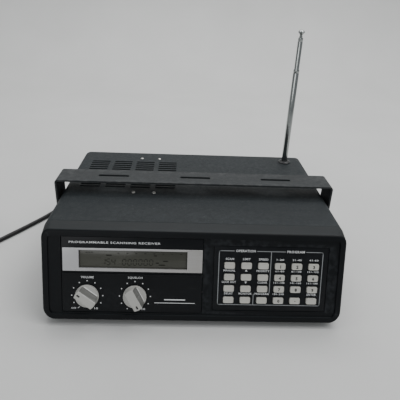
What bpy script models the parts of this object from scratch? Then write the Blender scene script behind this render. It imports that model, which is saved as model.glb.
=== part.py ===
"""Desktop scanning receiver with a leaning front panel, a keypad, two knobs, a telescopic aerial, a tilting
mounting bracket and a mains lead. Metres, +Z up, the front faces -Y, and the feet stand on Z = 0."""

import math

import bmesh
import bpy
from mathutils import Matrix, Vector

# ---------------------------------------------------------------- sizes
GAP = 0.0003  # clearance between pieces that seat on or pass through each other

CASE_WIDTH = 0.270
CASE_HEIGHT = 0.079
CASE_DEPTH = 0.190  # along the top, from the face's upper edge to the back
FOOT_HEIGHT = 0.006
FOOT_RADIUS = 0.0085
FOOT_INSET = 0.022  # from the sides, the back and the bezel
SHEET = 0.001
EDGE_RADIUS = 0.008
SEAM_HEIGHT = 0.024  # where the cover meets the pan, above the case's underside

FACE_LEAN = math.radians(16.5)
BEZEL_DEPTH = 0.016
BEZEL_WALL = 0.0024
BEZEL_TAPER = 0.0022  # the face is this much narrower than the case, on each side
BEZEL_ROUND = 0.0018
LOWER_RADIUS = 0.0105
RIM_WIDTH = 0.0052
RIM_STEP = 0.0012
WINDOW_WALL = 0.0022  # the bezel's front wall around the two panels

PANEL_FRONT = 0.0015  # depth of the panels' front behind the rim
PANEL_THICKNESS = 0.0034
PANEL_FLANGE = 0.002
PANEL_FLANGE_THICKNESS = 0.0012
CONTROL_PANEL = (-0.1162, 0.0069, 0.0063, 0.0748)  # left, right, upper edge, lower edge on the face
KEYPAD_PANEL = (0.0166, 0.1180, 0.0120, 0.0715)
LEDGE_DROP = 0.0395
LEDGE_SIZE = 0.0009

FRAME = (-0.1150, 0.0064, 0.0160, 0.0369)
FRAME_THICKNESS = 0.0010
FRAME_COLLAR = 0.0009
FRAME_COLLAR_DEPTH = 0.0022
WINDOW = (-0.1011, -0.0069, 0.0178, 0.0341)
WINDOW_DEPTH = 0.0020
WINDOW_THICKNESS = 0.0012

KNOB_X = {"volume": -0.0942, "squelch": -0.0524}
KNOB_DROP = 0.0597
KNOB_POINTS_TO = {"volume": -54.0, "squelch": 152.0}  # degrees clockwise from straight up
KNOB_RADIUS = 0.0103
KNOB_SKIRT = 0.0024
KNOB_HEIGHT = 0.0112
KNOB_LIFT = 0.0005
GRIP_FRONT_RADIUS = 0.0095
GRIP_FRONT_HALF = 0.0037
GRIP_BACK_HALF = 0.0056
POINTER_LENGTH = 0.0030
POINTER_WIDTH = 0.0016
POINTER_AT = 0.0066
SHAFT_RADIUS = 0.003
SHAFT_IN_KNOB = 0.007
POT_RADIUS = 0.0085
POT_DEPTH = 0.009
BUSH_RADIUS = 0.0042

KEY_COLUMNS = 6
KEY_ROWS = 4
KEY_FIRST = (0.0305, 0.0294)  # centre of the first key: across, and down the face
KEY_PITCH = (0.01493, 0.01066)
KEY_SIZE = (0.0092, 0.0056)
KEY_PROUD = 0.0017
KEY_ROUND = 0.0011
KEY_EDGE = 0.0005
KEY_LIP = 0.0007
KEY_LIP_THICKNESS = 0.0009
KEY_TRAVEL = 0.0010
MAT_THICKNESS = 0.0015
BOARD_THICKNESS = 0.0016

VENT_COLUMNS = (-0.109, -0.083, -0.057, -0.031)
VENT_ROWS = 13
VENT_ROW_PITCH = 0.00585
VENT_SIZE = (0.021, 0.003)
VENT_BACK = 0.1597  # the last row, behind the face's upper edge

BRACKET_WIDTH = 0.0294
BRACKET_SHEET = 0.002
BRACKET_SIDE_GAP = 0.0028
BRACKET_TOP = 0.0134  # plate's upper side above the case
BRACKET_BEND = 0.0035
BRACKET_MIDDLE = 0.0871  # behind the face's upper edge
PIVOT_HEIGHT = 0.040  # above the case's underside
SLOT_CENTRES = (-0.083, 0.0, 0.083)
SLOT_SIZE = (0.031, 0.0046)
THUMB_RADIUS = 0.010
THUMB_THICKNESS = 0.009
THUMB_SHANK = 0.0025
THUMB_REACH = 0.012

AERIAL_AT = (0.1108, 0.1737)  # across, and behind the face's upper edge
BUSHING_RADIUS = 0.0072
BUSHING_HEIGHT = 0.0024
BUSHING_NECK = 0.0048
BUSHING_BELOW = 0.010
TUBE_WALL = 0.0003
BASE_TUBE_RADIUS = 0.0033
BASE_TUBE_LENGTH = 0.1105  # above the case
BASE_TUBE_BELOW = 0.008
MIDDLE_TUBE_RADIUS = BASE_TUBE_RADIUS - TUBE_WALL - GAP
MIDDLE_TUBE_LENGTH = 0.105
MIDDLE_TUBE_OUT = 0.0335
ROD_RADIUS = 0.0017
ROD_LENGTH = 0.100
TIP_RADIUS = 0.0036
TIP_HEIGHT = 0.0050
TIP_NECK = 0.0034

REAR_INSET = 0.002
REAR_THICKNESS = 0.0012
JACK_REACH = 0.009
AERIAL_JACK_AT = (0.098, 0.054)  # across, and above the case's underside
DC_JACK_AT = (0.042, 0.018)
JACK_FLANGE = 0.0062
JACK_BARREL = 0.0046
JACK_BORE = 0.0022

SPEAKER_AT = (-0.052, 0.124)
SPEAKER_RADIUS = 0.0385
SPEAKER_HEIGHT = 0.027
TRANSFORMER_AT = (-0.106, 0.150)
TRANSFORMER_CORE = (0.034, 0.048, 0.040)
TRANSFORMER_COIL = (0.044, 0.030, 0.028)
MAIN_BOARD = (0.196, 0.130)
MAIN_BOARD_LIFT = 0.009

CORD_RADIUS = 0.0025
CORD_EXIT = (-0.098, 0.018)  # across, and above the case's underside
RELIEF_LENGTH = 0.026
RELIEF_RADIUS = 0.0052
RELIEF_TIP = 0.0037
COIL_CENTRE = (-0.27311, 0.01752)
COIL_RADIUS = 0.0275
TIE_THICKNESS = 0.0005
COIL_TURNS_WIDE = 3
COIL_TURNS_HIGH = 3
PLUG_BODY = (0.030, 0.022, 0.014)
PLUG_NECK = (0.012, 0.0032, 0.0044)  # length, radius at the lead, radius at the body
PLUG_AT = (-0.0225, 0.025)  # its body's middle, from the coil's middle
PLUG_BLADE = (0.016, 0.0015, 0.0063)
BLADE_SPACING = 0.0127

# the lead's own route, from the strain relief to its coil
CORD_ROUTE = (
    (-0.0980, 0.1293, 0.0240),
    (-0.0980, 0.1430, 0.0225),
    (-0.1010, 0.1560, 0.0160),
    (-0.1090, 0.1665, 0.0075),
    (-0.1220, 0.1710, 0.0030),
    (-0.1370, 0.1680, 0.0027),
    (-0.1510, 0.1560, 0.0027),
    (-0.1625, 0.1380, 0.0027),
    (-0.1725, 0.1160, 0.0027),
    (-0.1840, 0.0885, 0.0027),
    (-0.2030, 0.0560, 0.0027),
    (-0.2220, 0.0265, 0.0027),
    (-0.2409, -0.0032, 0.0027),
)

# ---------------------------------------------------------------- derived places
CASE_BOTTOM = FOOT_HEIGHT
CASE_TOP = FOOT_HEIGHT + CASE_HEIGHT
FRONT_REACH = (
    (KNOB_DROP + GRIP_FRONT_RADIUS) * math.sin(FACE_LEAN)
    + (KNOB_HEIGHT - PANEL_FRONT) * math.cos(FACE_LEAN)
)
FACE_Y = (FRONT_REACH - CASE_DEPTH - JACK_REACH) / 2  # the face's upper edge, with the model's middle at Y = 0
BACK_Y = FACE_Y + CASE_DEPTH
REAR_FACE_Y = BACK_Y - REAR_INSET
PIVOT_Y = FACE_Y + BRACKET_MIDDLE
PIVOT_Z = CASE_BOTTOM + PIVOT_HEIGHT
PANEL_BACK = PANEL_FRONT + PANEL_THICKNESS
KEY_LIP_FRONT = PANEL_BACK + GAP
MAT_FRONT = KEY_LIP_FRONT + KEY_LIP_THICKNESS + KEY_TRAVEL + GAP
BOARD_FRONT = MAT_FRONT + MAT_THICKNESS + GAP

# ---------------------------------------------------------------- scene and materials
for old in list(bpy.data.objects):
    bpy.data.objects.remove(old)

parts = bpy.data.collections.new("police_scanner")
cutters = bpy.data.collections.new("cutters")
for collection in (parts, cutters):
    bpy.context.scene.collection.children.link(collection)


def finish(name, colour, roughness, metallic=0.0):
    """A material: its name, base colour, roughness and metallic value."""
    made = bpy.data.materials.new(name)
    made.use_nodes = True
    shader = made.node_tree.nodes["Principled BSDF"]
    shader.inputs["Base Color"].default_value = (*colour, 1.0)
    shader.inputs["Roughness"].default_value = roughness
    shader.inputs["Metallic"].default_value = metallic
    return made


COVER_PAINT = finish("charcoal_paint", (0.045, 0.052, 0.056), 0.55)
BRACKET_PAINT = finish("bracket_paint", (0.060, 0.063, 0.065), 0.50)
BLACK_PLASTIC = finish("black_plastic", (0.010, 0.012, 0.015), 0.40)
PANEL_BLACK = finish("panel_black", (0.006, 0.007, 0.009), 0.30)
SILVER_TRIM = finish("silver_trim", (0.42, 0.42, 0.43), 0.35, 0.7)
KNOB_SILVER = finish("knob_silver", (0.42, 0.42, 0.40), 0.38, 0.4)
KEY_PLASTIC = finish("key_plastic", (0.43, 0.43, 0.39), 0.50)
LCD_GLASS = finish("lcd_glass", (0.070, 0.070, 0.050), 0.12)
STEEL = finish("steel", (0.55, 0.55, 0.55), 0.35, 1.0)
CHROME = finish("chrome", (0.75, 0.75, 0.76), 0.12, 1.0)
RUBBER = finish("black_rubber", (0.012, 0.012, 0.012), 0.80)
BOARD_GREEN = finish("circuit_board", (0.020, 0.110, 0.045), 0.50)
PAPER_GREY = finish("speaker_grey", (0.080, 0.080, 0.080), 0.80)
CORD_PLASTIC = finish("cord_plastic", (0.010, 0.010, 0.010), 0.45)


# ---------------------------------------------------------------- modelling helpers
def add_object(name, mesh, material, place=(0, 0, 0), turn=(0, 0, 0), parent=None):
    """A named sub-part in the parts collection, placed by its location and rotation under its parent."""
    made = bpy.data.objects.new(name, mesh)
    mesh.materials.append(material)
    parts.objects.link(made)
    made.location = place
    made.rotation_euler = turn
    made.parent = parent
    return made


def add_cutter(name, mesh, place=(0, 0, 0), turn=(0, 0, 0), parent=None):
    """A cutter or a shape to join: seen as a wire, and left out of the render."""
    made = bpy.data.objects.new(name, mesh)
    cutters.objects.link(made)
    made.location = place
    made.rotation_euler = turn
    made.parent = parent
    made.hide_render = True
    made.display_type = "WIRE"
    return made


def combine(target, other, operation="DIFFERENCE"):
    """Cuts the other shape from the target, or joins it on."""
    boolean = target.modifiers.new(f"{operation.lower()}_{other.name}", "BOOLEAN")
    boolean.operation = operation
    boolean.object = other
    return boolean


def to_mesh(bm, name):
    """The finished mesh of a bmesh, with its round sides shaded smooth."""
    mesh = bpy.data.meshes.new(name)
    bmesh.ops.recalc_face_normals(bm, faces=bm.faces)
    bm.to_mesh(mesh)
    bm.free()
    mesh.shade_smooth()
    mesh.set_sharp_from_angle(angle=math.radians(35))
    return mesh


def add_box(bm, size, centre=(0, 0, 0)):
    """One box in a bmesh; gives back its vertices."""
    made = bmesh.ops.create_cube(bm, size=1.0)["verts"]
    bmesh.ops.scale(bm, vec=size, verts=made)
    bmesh.ops.translate(bm, vec=centre, verts=made)
    return made


def add_rod(bm, radius, length, centre=(0, 0, 0), axis="Z", sides=24, end_radius=None):
    """One cylinder or cone in a bmesh, along the axis; gives back its vertices."""
    made = bmesh.ops.create_cone(
        bm, cap_ends=True, segments=sides, radius1=radius,
        radius2=radius if end_radius is None else end_radius, depth=length,
    )["verts"]
    turns = {"X": Matrix.Rotation(math.pi / 2, 3, "Y"), "Y": Matrix.Rotation(-math.pi / 2, 3, "X")}
    if axis in turns:
        bmesh.ops.rotate(bm, matrix=turns[axis], verts=made)
    bmesh.ops.translate(bm, vec=centre, verts=made)
    return made


def edges_along(bm, axis):
    """The straight edges that run along one axis, 0 to 2."""
    found = []
    for edge in bm.edges:
        run = edge.verts[1].co - edge.verts[0].co
        if abs(run[axis]) > 0.999 * run.length:
            found.append(edge)
    return found


def round_edges(bm, edges, radius, segments):
    """Rounds the given edges."""
    bmesh.ops.bevel(
        bm, geom=edges, offset=radius, offset_type="OFFSET", affect="EDGES",
        segments=segments, profile=0.5, material=-1,
    )


def box_mesh(name, size, corner_radius=0.0, corner_axis=1, segments=3, front_edge=0.0, centre=(0, 0, 0)):
    """A box about its centre, with the edges along one axis rounded and, if asked, a small bevel on the front."""
    bm = bmesh.new()
    add_box(bm, size)
    if corner_radius:
        round_edges(bm, edges_along(bm, corner_axis), corner_radius, segments)
    if front_edge:
        front = [e for e in bm.edges if all(v.co.y < -size[1] / 2 + 1e-6 for v in e.verts)]
        round_edges(bm, front, front_edge, 2)
    bmesh.ops.translate(bm, vec=centre, verts=bm.verts)
    return to_mesh(bm, name)


def rods_mesh(name, rods):
    """Several cylinders in one mesh, each given as (radius, length, centre, axis)."""
    bm = bmesh.new()
    for radius, length, centre, axis in rods:
        add_rod(bm, radius, length, centre, axis)
    return to_mesh(bm, name)


def turned(name, material, profile, steps=24, place=(0, 0, 0), turn=(0, 0, 0), parent=None, ring=False):
    """A turned piece. The profile is (radius, height) points down its outer side; a ring's profile is closed."""
    bm = bmesh.new()
    points = [bm.verts.new((radius, 0, height)) for radius, height in profile]
    for upper, lower in zip(points, points[1:]):
        bm.edges.new((upper, lower))
    if ring:
        bm.edges.new((points[-1], points[0]))
    mesh = bpy.data.meshes.new(name)
    bm.to_mesh(mesh)
    bm.free()
    made = add_object(name, mesh, material, place, turn, parent)
    screw = made.modifiers.new("turn", "SCREW")
    screw.axis = "Z"
    screw.steps = steps
    screw.render_steps = steps
    screw.use_merge_vertices = True
    screw.merge_threshold = 0.00001
    return made


# local Z of a turned piece points out of the back of the case, or out of a side
FACING_BACK = (-math.pi / 2, 0, 0)
FACING_RIGHT = (0, math.pi / 2, 0)
FACING_LEFT = (0, -math.pi / 2, 0)

face = bpy.data.objects.new("face_frame", None)
parts.objects.link(face)
face.location = (0, FACE_Y, CASE_TOP)
face.rotation_euler = (-FACE_LEAN, 0, 0)  # local X across, -Z down the face, +Y into the case


def on_face(across, down, depth=0.0):
    """A place on the leaning face: across, down from its upper edge, and behind it."""
    return (across, depth, -down)


def area_middle(area):
    """The middle of a (left, right, upper, lower) area on the face: across and down."""
    left, right, upper, lower = area
    return (left + right) / 2, (upper + lower) / 2


def area_box(area, front, back, grow=0.0):
    """The size of a box over that area, grown on each side, and its place on the face."""
    left, right, upper, lower = area
    across, down = area_middle(area)
    size = (right - left + 2 * grow, back - front, lower - upper + 2 * grow)
    return size, on_face(across, down, (front + back) / 2)


def lean_back(bm, only=None):
    """Slants a bmesh's vertices with the face: what is lower stands further forward."""
    for vertex in bm.verts:
        if only is None or only(vertex):
            vertex.co.y += (vertex.co.z - CASE_TOP) * math.tan(FACE_LEAN)


# ---------------------------------------------------------------- case
def folded_shell(name, bottom, top, rounded_at_top):
    """One folded sheet, open at its ends and at one long side: the upper cover or the pan below it."""
    front = FACE_Y + BEZEL_DEPTH + GAP
    bm = bmesh.new()
    add_box(bm, (CASE_WIDTH, BACK_Y - front, top - bottom), (0, (front + BACK_Y) / 2, (bottom + top) / 2))
    closed_side = top if rounded_at_top else bottom
    folds = [e for e in edges_along(bm, 1) if all(abs(v.co.z - closed_side) < 1e-6 for v in e.verts)]
    round_edges(bm, folds, EDGE_RADIUS, 4)
    open_side = -1 if rounded_at_top else 1
    removed = [f for f in bm.faces if abs(f.normal.y) > 0.9 or f.normal.z * open_side > 0.9]
    bmesh.ops.delete(bm, geom=removed, context="FACES")
    lean_back(bm, lambda v: v.co.y < front + 1e-6)
    mesh = bpy.data.meshes.new(name)
    bm.to_mesh(mesh)
    bm.free()
    shell = add_object(name, mesh, COVER_PAINT)
    wall = shell.modifiers.new("sheet", "SOLIDIFY")
    wall.thickness = SHEET
    wall.offset = -1
    wall.use_even_offset = True
    return shell


seam_z = CASE_BOTTOM + SEAM_HEIGHT
top_cover = folded_shell("top_cover", seam_z + GAP / 2, CASE_TOP, True)
base_pan = folded_shell("base_pan", CASE_BOTTOM, seam_z - GAP / 2, False)

vents = bmesh.new()
for column in VENT_COLUMNS:
    for row in range(VENT_ROWS):
        vent_y = FACE_Y + VENT_BACK - row * VENT_ROW_PITCH
        add_box(vents, (*VENT_SIZE, 4 * SHEET), (column, vent_y, CASE_TOP))
combine(top_cover, add_cutter("vent_slots", to_mesh(vents, "vent_slots")))

aerial_x = AERIAL_AT[0]
aerial_y = FACE_Y + AERIAL_AT[1]
cover_holes = rods_mesh("cover_holes", [
    (BUSHING_NECK + GAP, 4 * SHEET, (aerial_x, aerial_y, CASE_TOP), "Z"),
    (THUMB_SHANK + GAP, CASE_WIDTH + 4 * SHEET, (0, PIVOT_Y, PIVOT_Z), "X"),
])
combine(top_cover, add_cutter("cover_holes", cover_holes))

for side, side_name in ((-1, "left"), (1, "right")):
    for foot_y, end_name in (
        (FACE_Y + FOOT_INSET / 2, "front"),
        (BACK_Y - FOOT_INSET, "rear"),
    ):
        turned(
            f"foot_{end_name}_{side_name}", RUBBER,
            [
                (0, FOOT_HEIGHT - GAP),
                (FOOT_RADIUS, FOOT_HEIGHT - GAP),
                (FOOT_RADIUS * 0.9, 0),
                (FOOT_RADIUS * 0.35, 0),
                (FOOT_RADIUS * 0.35, FOOT_HEIGHT / 3),
                (0, FOOT_HEIGHT / 3),
            ],
            steps=20, place=(side * (CASE_WIDTH / 2 - FOOT_INSET), foot_y, 0),
        )

# ---------------------------------------------------------------- rear panel and its jacks
rear_height = CASE_HEIGHT - 2 * (SHEET + GAP)
rear_middle = (0, REAR_FACE_Y - REAR_THICKNESS / 2, CASE_BOTTOM + CASE_HEIGHT / 2)
rear_panel = add_object(
    "rear_panel",
    box_mesh("rear_panel", (CASE_WIDTH - 2 * (SHEET + GAP), REAR_THICKNESS, rear_height), EDGE_RADIUS - SHEET),
    COVER_PAINT, rear_middle,
)
rear_holes = []
for (hole_x, hole_z), radius in (
    (AERIAL_JACK_AT, JACK_BARREL + GAP),
    (DC_JACK_AT, JACK_BARREL + GAP),
    (CORD_EXIT, RELIEF_TIP + GAP),
):
    rear_holes.append((radius, 4 * REAR_THICKNESS, (hole_x, rear_middle[1], CASE_BOTTOM + hole_z), "Y"))
combine(rear_panel, add_cutter("rear_holes", rods_mesh("rear_holes", rear_holes)))


def jack(name, place, reach):
    """A round socket: a flange on the rear panel and a barrel that passes through it, bored from outside."""
    jack_x, jack_z = place
    inside = REAR_THICKNESS + 0.008
    turned(
        name, STEEL,
        [
            (JACK_BORE, reach),
            (JACK_BARREL - GAP, reach),
            (JACK_BARREL - GAP, 0.0022),
            (JACK_FLANGE, 0.0022),
            (JACK_FLANGE, GAP),
            (JACK_BARREL, GAP),
            (JACK_BARREL, -inside),
            (0, -inside),
            (0, GAP),
            (JACK_BORE, GAP),
        ],
        steps=20, place=(jack_x, REAR_FACE_Y, CASE_BOTTOM + jack_z), turn=FACING_BACK, ring=True,
    )


jack("aerial_jack", AERIAL_JACK_AT, JACK_REACH + REAR_INSET)
jack("dc_jack", DC_JACK_AT, 0.0045)

# ---------------------------------------------------------------- front bezel
bezel = bmesh.new()
add_box(bezel, (CASE_WIDTH, BEZEL_DEPTH, CASE_HEIGHT), (0, FACE_Y + BEZEL_DEPTH / 2, CASE_BOTTOM + CASE_HEIGHT / 2))
for level, radius in ((CASE_TOP, EDGE_RADIUS), (CASE_BOTTOM, LOWER_RADIUS)):
    corner = [e for e in edges_along(bezel, 1) if all(abs(v.co.z - level) < 1e-6 for v in e.verts)]
    round_edges(bezel, corner, radius, 4)
face_verts = [v for v in bezel.verts if v.co.y < FACE_Y + 1e-6]
bmesh.ops.scale(bezel, vec=(1 - 2 * BEZEL_TAPER / CASE_WIDTH, 1, 1), verts=face_verts)
face_edges = [e for e in bezel.edges if all(v.co.y < FACE_Y + 1e-6 for v in e.verts)]
round_edges(bezel, face_edges, BEZEL_ROUND, 3)
lean_back(bezel)
front_bezel = add_object("front_bezel", to_mesh(bezel, "front_bezel"), BLACK_PLASTIC)

hollow = bmesh.new()
hollow_front = FACE_Y + (RIM_STEP + WINDOW_WALL) / math.cos(FACE_LEAN)
hollow_back = FACE_Y + 2 * BEZEL_DEPTH
add_box(
    hollow,
    (CASE_WIDTH - 2 * BEZEL_WALL - 2 * BEZEL_TAPER, hollow_back - hollow_front, CASE_HEIGHT - 2 * BEZEL_WALL),
    (0, (hollow_front + hollow_back) / 2, CASE_BOTTOM + CASE_HEIGHT / 2),
)
round_edges(hollow, edges_along(hollow, 1), EDGE_RADIUS - BEZEL_WALL, 3)
lean_back(hollow)
combine(front_bezel, add_cutter("bezel_hollow", to_mesh(hollow, "bezel_hollow")))

face_length = CASE_HEIGHT / math.cos(FACE_LEAN)
face_half = CASE_WIDTH / 2 - BEZEL_TAPER
recess_area = (-face_half + RIM_WIDTH, face_half - RIM_WIDTH, RIM_WIDTH, face_length - RIM_WIDTH)
recess_size, recess_place = area_box(recess_area, -RIM_STEP, RIM_STEP)
recess = add_cutter("face_recess", box_mesh("face_recess", recess_size, 0.004), recess_place, parent=face)
combine(front_bezel, recess)

openings = bmesh.new()
for area in (CONTROL_PANEL, KEYPAD_PANEL):
    size, place = area_box(area, -0.001, RIM_STEP + 2 * WINDOW_WALL, GAP)
    add_box(openings, size, place)
combine(front_bezel, add_cutter("panel_openings", to_mesh(openings, "panel_openings"), parent=face))


# ---------------------------------------------------------------- panels in the bezel
def panel(name, area):
    """A panel that fills its opening, with a flange behind the bezel's wall."""
    size, place = area_box(area, PANEL_FRONT, PANEL_BACK)
    made = add_object(name, box_mesh(name, size), PANEL_BLACK, place, parent=face)
    flange_front = PANEL_BACK - PANEL_FLANGE_THICKNESS
    flange_size, flange_place = area_box(area, flange_front, PANEL_BACK, PANEL_FLANGE)
    flange = add_cutter(f"{name}_flange", box_mesh(f"{name}_flange", flange_size), flange_place, parent=face)
    combine(made, flange, "UNION")
    return made


control_panel = panel("control_panel", CONTROL_PANEL)
keypad_panel = panel("keypad_panel", KEYPAD_PANEL)

ledge_size = (FRAME[1] - FRAME[0], 2 * LEDGE_SIZE, LEDGE_SIZE)
ledge_place = on_face(area_middle(FRAME)[0], LEDGE_DROP, PANEL_FRONT)
combine(control_panel, add_cutter("ledge", box_mesh("ledge", ledge_size), ledge_place, parent=face), "UNION")

collar_grow = FRAME_COLLAR + GAP
panel_holes = bmesh.new()
size, place = area_box(WINDOW, -PANEL_THICKNESS, 2 * PANEL_BACK, collar_grow)
add_box(panel_holes, size, place)
for knob_x in KNOB_X.values():
    add_rod(panel_holes, BUSH_RADIUS + GAP, 4 * PANEL_THICKNESS, on_face(knob_x, KNOB_DROP, PANEL_FRONT), "Y")
combine(control_panel, add_cutter("panel_holes", to_mesh(panel_holes, "panel_holes"), parent=face))

key_places = []
for row in range(KEY_ROWS):
    for column in range(KEY_COLUMNS):
        key_places.append((KEY_FIRST[0] + column * KEY_PITCH[0], KEY_FIRST[1] + row * KEY_PITCH[1]))

key_holes = bmesh.new()
for across, down in key_places:
    add_box(
        key_holes, (KEY_SIZE[0] + 2 * GAP, 4 * PANEL_THICKNESS, KEY_SIZE[1] + 2 * GAP),
        on_face(across, down, PANEL_FRONT),
    )
combine(keypad_panel, add_cutter("key_holes", to_mesh(key_holes, "key_holes"), parent=face))

# ---------------------------------------------------------------- display
frame_back = PANEL_FRONT - GAP
size, place = area_box(FRAME, frame_back - FRAME_THICKNESS, frame_back)
display_frame = add_object(
    "display_frame", box_mesh("display_frame", size, front_edge=0.0004), SILVER_TRIM, place, parent=face,
)
size, place = area_box(WINDOW, frame_back - FRAME_THICKNESS / 2, PANEL_FRONT + FRAME_COLLAR_DEPTH, FRAME_COLLAR)
combine(display_frame, add_cutter("frame_collar", box_mesh("frame_collar", size), place, parent=face), "UNION")
size, place = area_box(WINDOW, -PANEL_THICKNESS, 2 * PANEL_THICKNESS)
combine(display_frame, add_cutter("frame_opening", box_mesh("frame_opening", size), place, parent=face))

size, place = area_box(WINDOW, WINDOW_DEPTH, WINDOW_DEPTH + WINDOW_THICKNESS, -GAP)
add_object("display_window", box_mesh("display_window", size), LCD_GLASS, place, parent=face)

# ---------------------------------------------------------------- front board and keypad mat
board_area = (CONTROL_PANEL[0], KEYPAD_PANEL[1], CONTROL_PANEL[2] + 0.007, KEYPAD_PANEL[3])
size, place = area_box(board_area, BOARD_FRONT, BOARD_FRONT + BOARD_THICKNESS)
front_board = add_object("front_board", box_mesh("front_board", size), BOARD_GREEN, place, parent=face)
pot_clearances = []
for knob_x in KNOB_X.values():
    pot_clearances.append((POT_RADIUS + 3 * GAP, 0.01, on_face(knob_x, KNOB_DROP, BOARD_FRONT), "Y"))
combine(front_board, add_cutter("pot_clearances", rods_mesh("pot_clearances", pot_clearances), parent=face))

mat_margin = 0.004
mat_area = (
    key_places[0][0] - KEY_SIZE[0] / 2 - mat_margin, key_places[-1][0] + KEY_SIZE[0] / 2 + mat_margin,
    key_places[0][1] - KEY_SIZE[1] / 2 - mat_margin, key_places[-1][1] + KEY_SIZE[1] / 2 + mat_margin,
)
size, place = area_box(mat_area, MAT_FRONT, MAT_FRONT + MAT_THICKNESS)
add_object("keypad_mat", box_mesh("keypad_mat", size, 0.002), RUBBER, place, parent=face)


# ---------------------------------------------------------------- keys
def key_mesh():
    """One key about its centre on the panel's front: a cap with soft edges, and a lip behind the panel."""
    bm = bmesh.new()
    back = KEY_LIP_FRONT - PANEL_FRONT
    add_box(bm, (KEY_SIZE[0], KEY_PROUD + back, KEY_SIZE[1]), (0, (back - KEY_PROUD) / 2, 0))
    round_edges(bm, edges_along(bm, 1), KEY_ROUND, 2)
    cap_edges = [e for e in bm.edges if all(v.co.y < -KEY_PROUD + 1e-6 for v in e.verts)]
    round_edges(bm, cap_edges, KEY_EDGE, 2)
    back_faces = [f for f in bm.faces if f.calc_center_median().y > back - 1e-6]
    grown = bmesh.ops.extrude_face_region(bm, geom=back_faces)["geom"]
    lip_faces = [g for g in grown if isinstance(g, bmesh.types.BMFace)]
    bmesh.ops.delete(bm, geom=back_faces, context="FACES_ONLY")
    lip_verts = list({v for f in lip_faces for v in f.verts})
    lip_scale = (1 + 2 * KEY_LIP / KEY_SIZE[0], 1, 1 + 2 * KEY_LIP / KEY_SIZE[1])
    bmesh.ops.scale(bm, vec=lip_scale, verts=lip_verts)
    grown = bmesh.ops.extrude_face_region(bm, geom=lip_faces)["geom"]
    end_verts = [g for g in grown if isinstance(g, bmesh.types.BMVert)]
    bmesh.ops.delete(bm, geom=lip_faces, context="FACES_ONLY")
    bmesh.ops.translate(bm, vec=(0, KEY_LIP_THICKNESS, 0), verts=end_verts)
    return to_mesh(bm, "key")


shared_key = key_mesh()
shared_key.materials.append(KEY_PLASTIC)
for number, (across, down) in enumerate(key_places):
    row, column = divmod(number, KEY_COLUMNS)
    key = bpy.data.objects.new(f"key_{row + 1}_{column + 1}", shared_key)
    parts.objects.link(key)
    key.location = on_face(across, down, PANEL_FRONT)
    key.parent = face


# ---------------------------------------------------------------- knobs, shafts and pots
def grip_mesh(name):
    """The tapered finger grip of a knob, round at its ends, from the skirt to the front at -Y."""
    bm = bmesh.new()
    add_rod(bm, GRIP_FRONT_RADIUS, KNOB_HEIGHT, (0, -KNOB_HEIGHT / 2, 0), "Y", 32, KNOB_RADIUS * 0.97)
    for side in (-1, 1):
        slope = Vector((KNOB_HEIGHT * side, (GRIP_BACK_HALF - GRIP_FRONT_HALF) * -1, 0)).normalized()
        bmesh.ops.bisect_plane(
            bm, geom=bm.verts[:] + bm.edges[:] + bm.faces[:],
            plane_co=(side * GRIP_FRONT_HALF, -KNOB_HEIGHT, 0), plane_no=slope, clear_outer=True,
        )
        bmesh.ops.holes_fill(bm, edges=[e for e in bm.edges if e.is_boundary])
    front = [e for e in bm.edges if all(v.co.y < -KNOB_HEIGHT + 1e-6 for v in e.verts)]
    round_edges(bm, front, 0.0005, 2)
    return to_mesh(bm, name)


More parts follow.
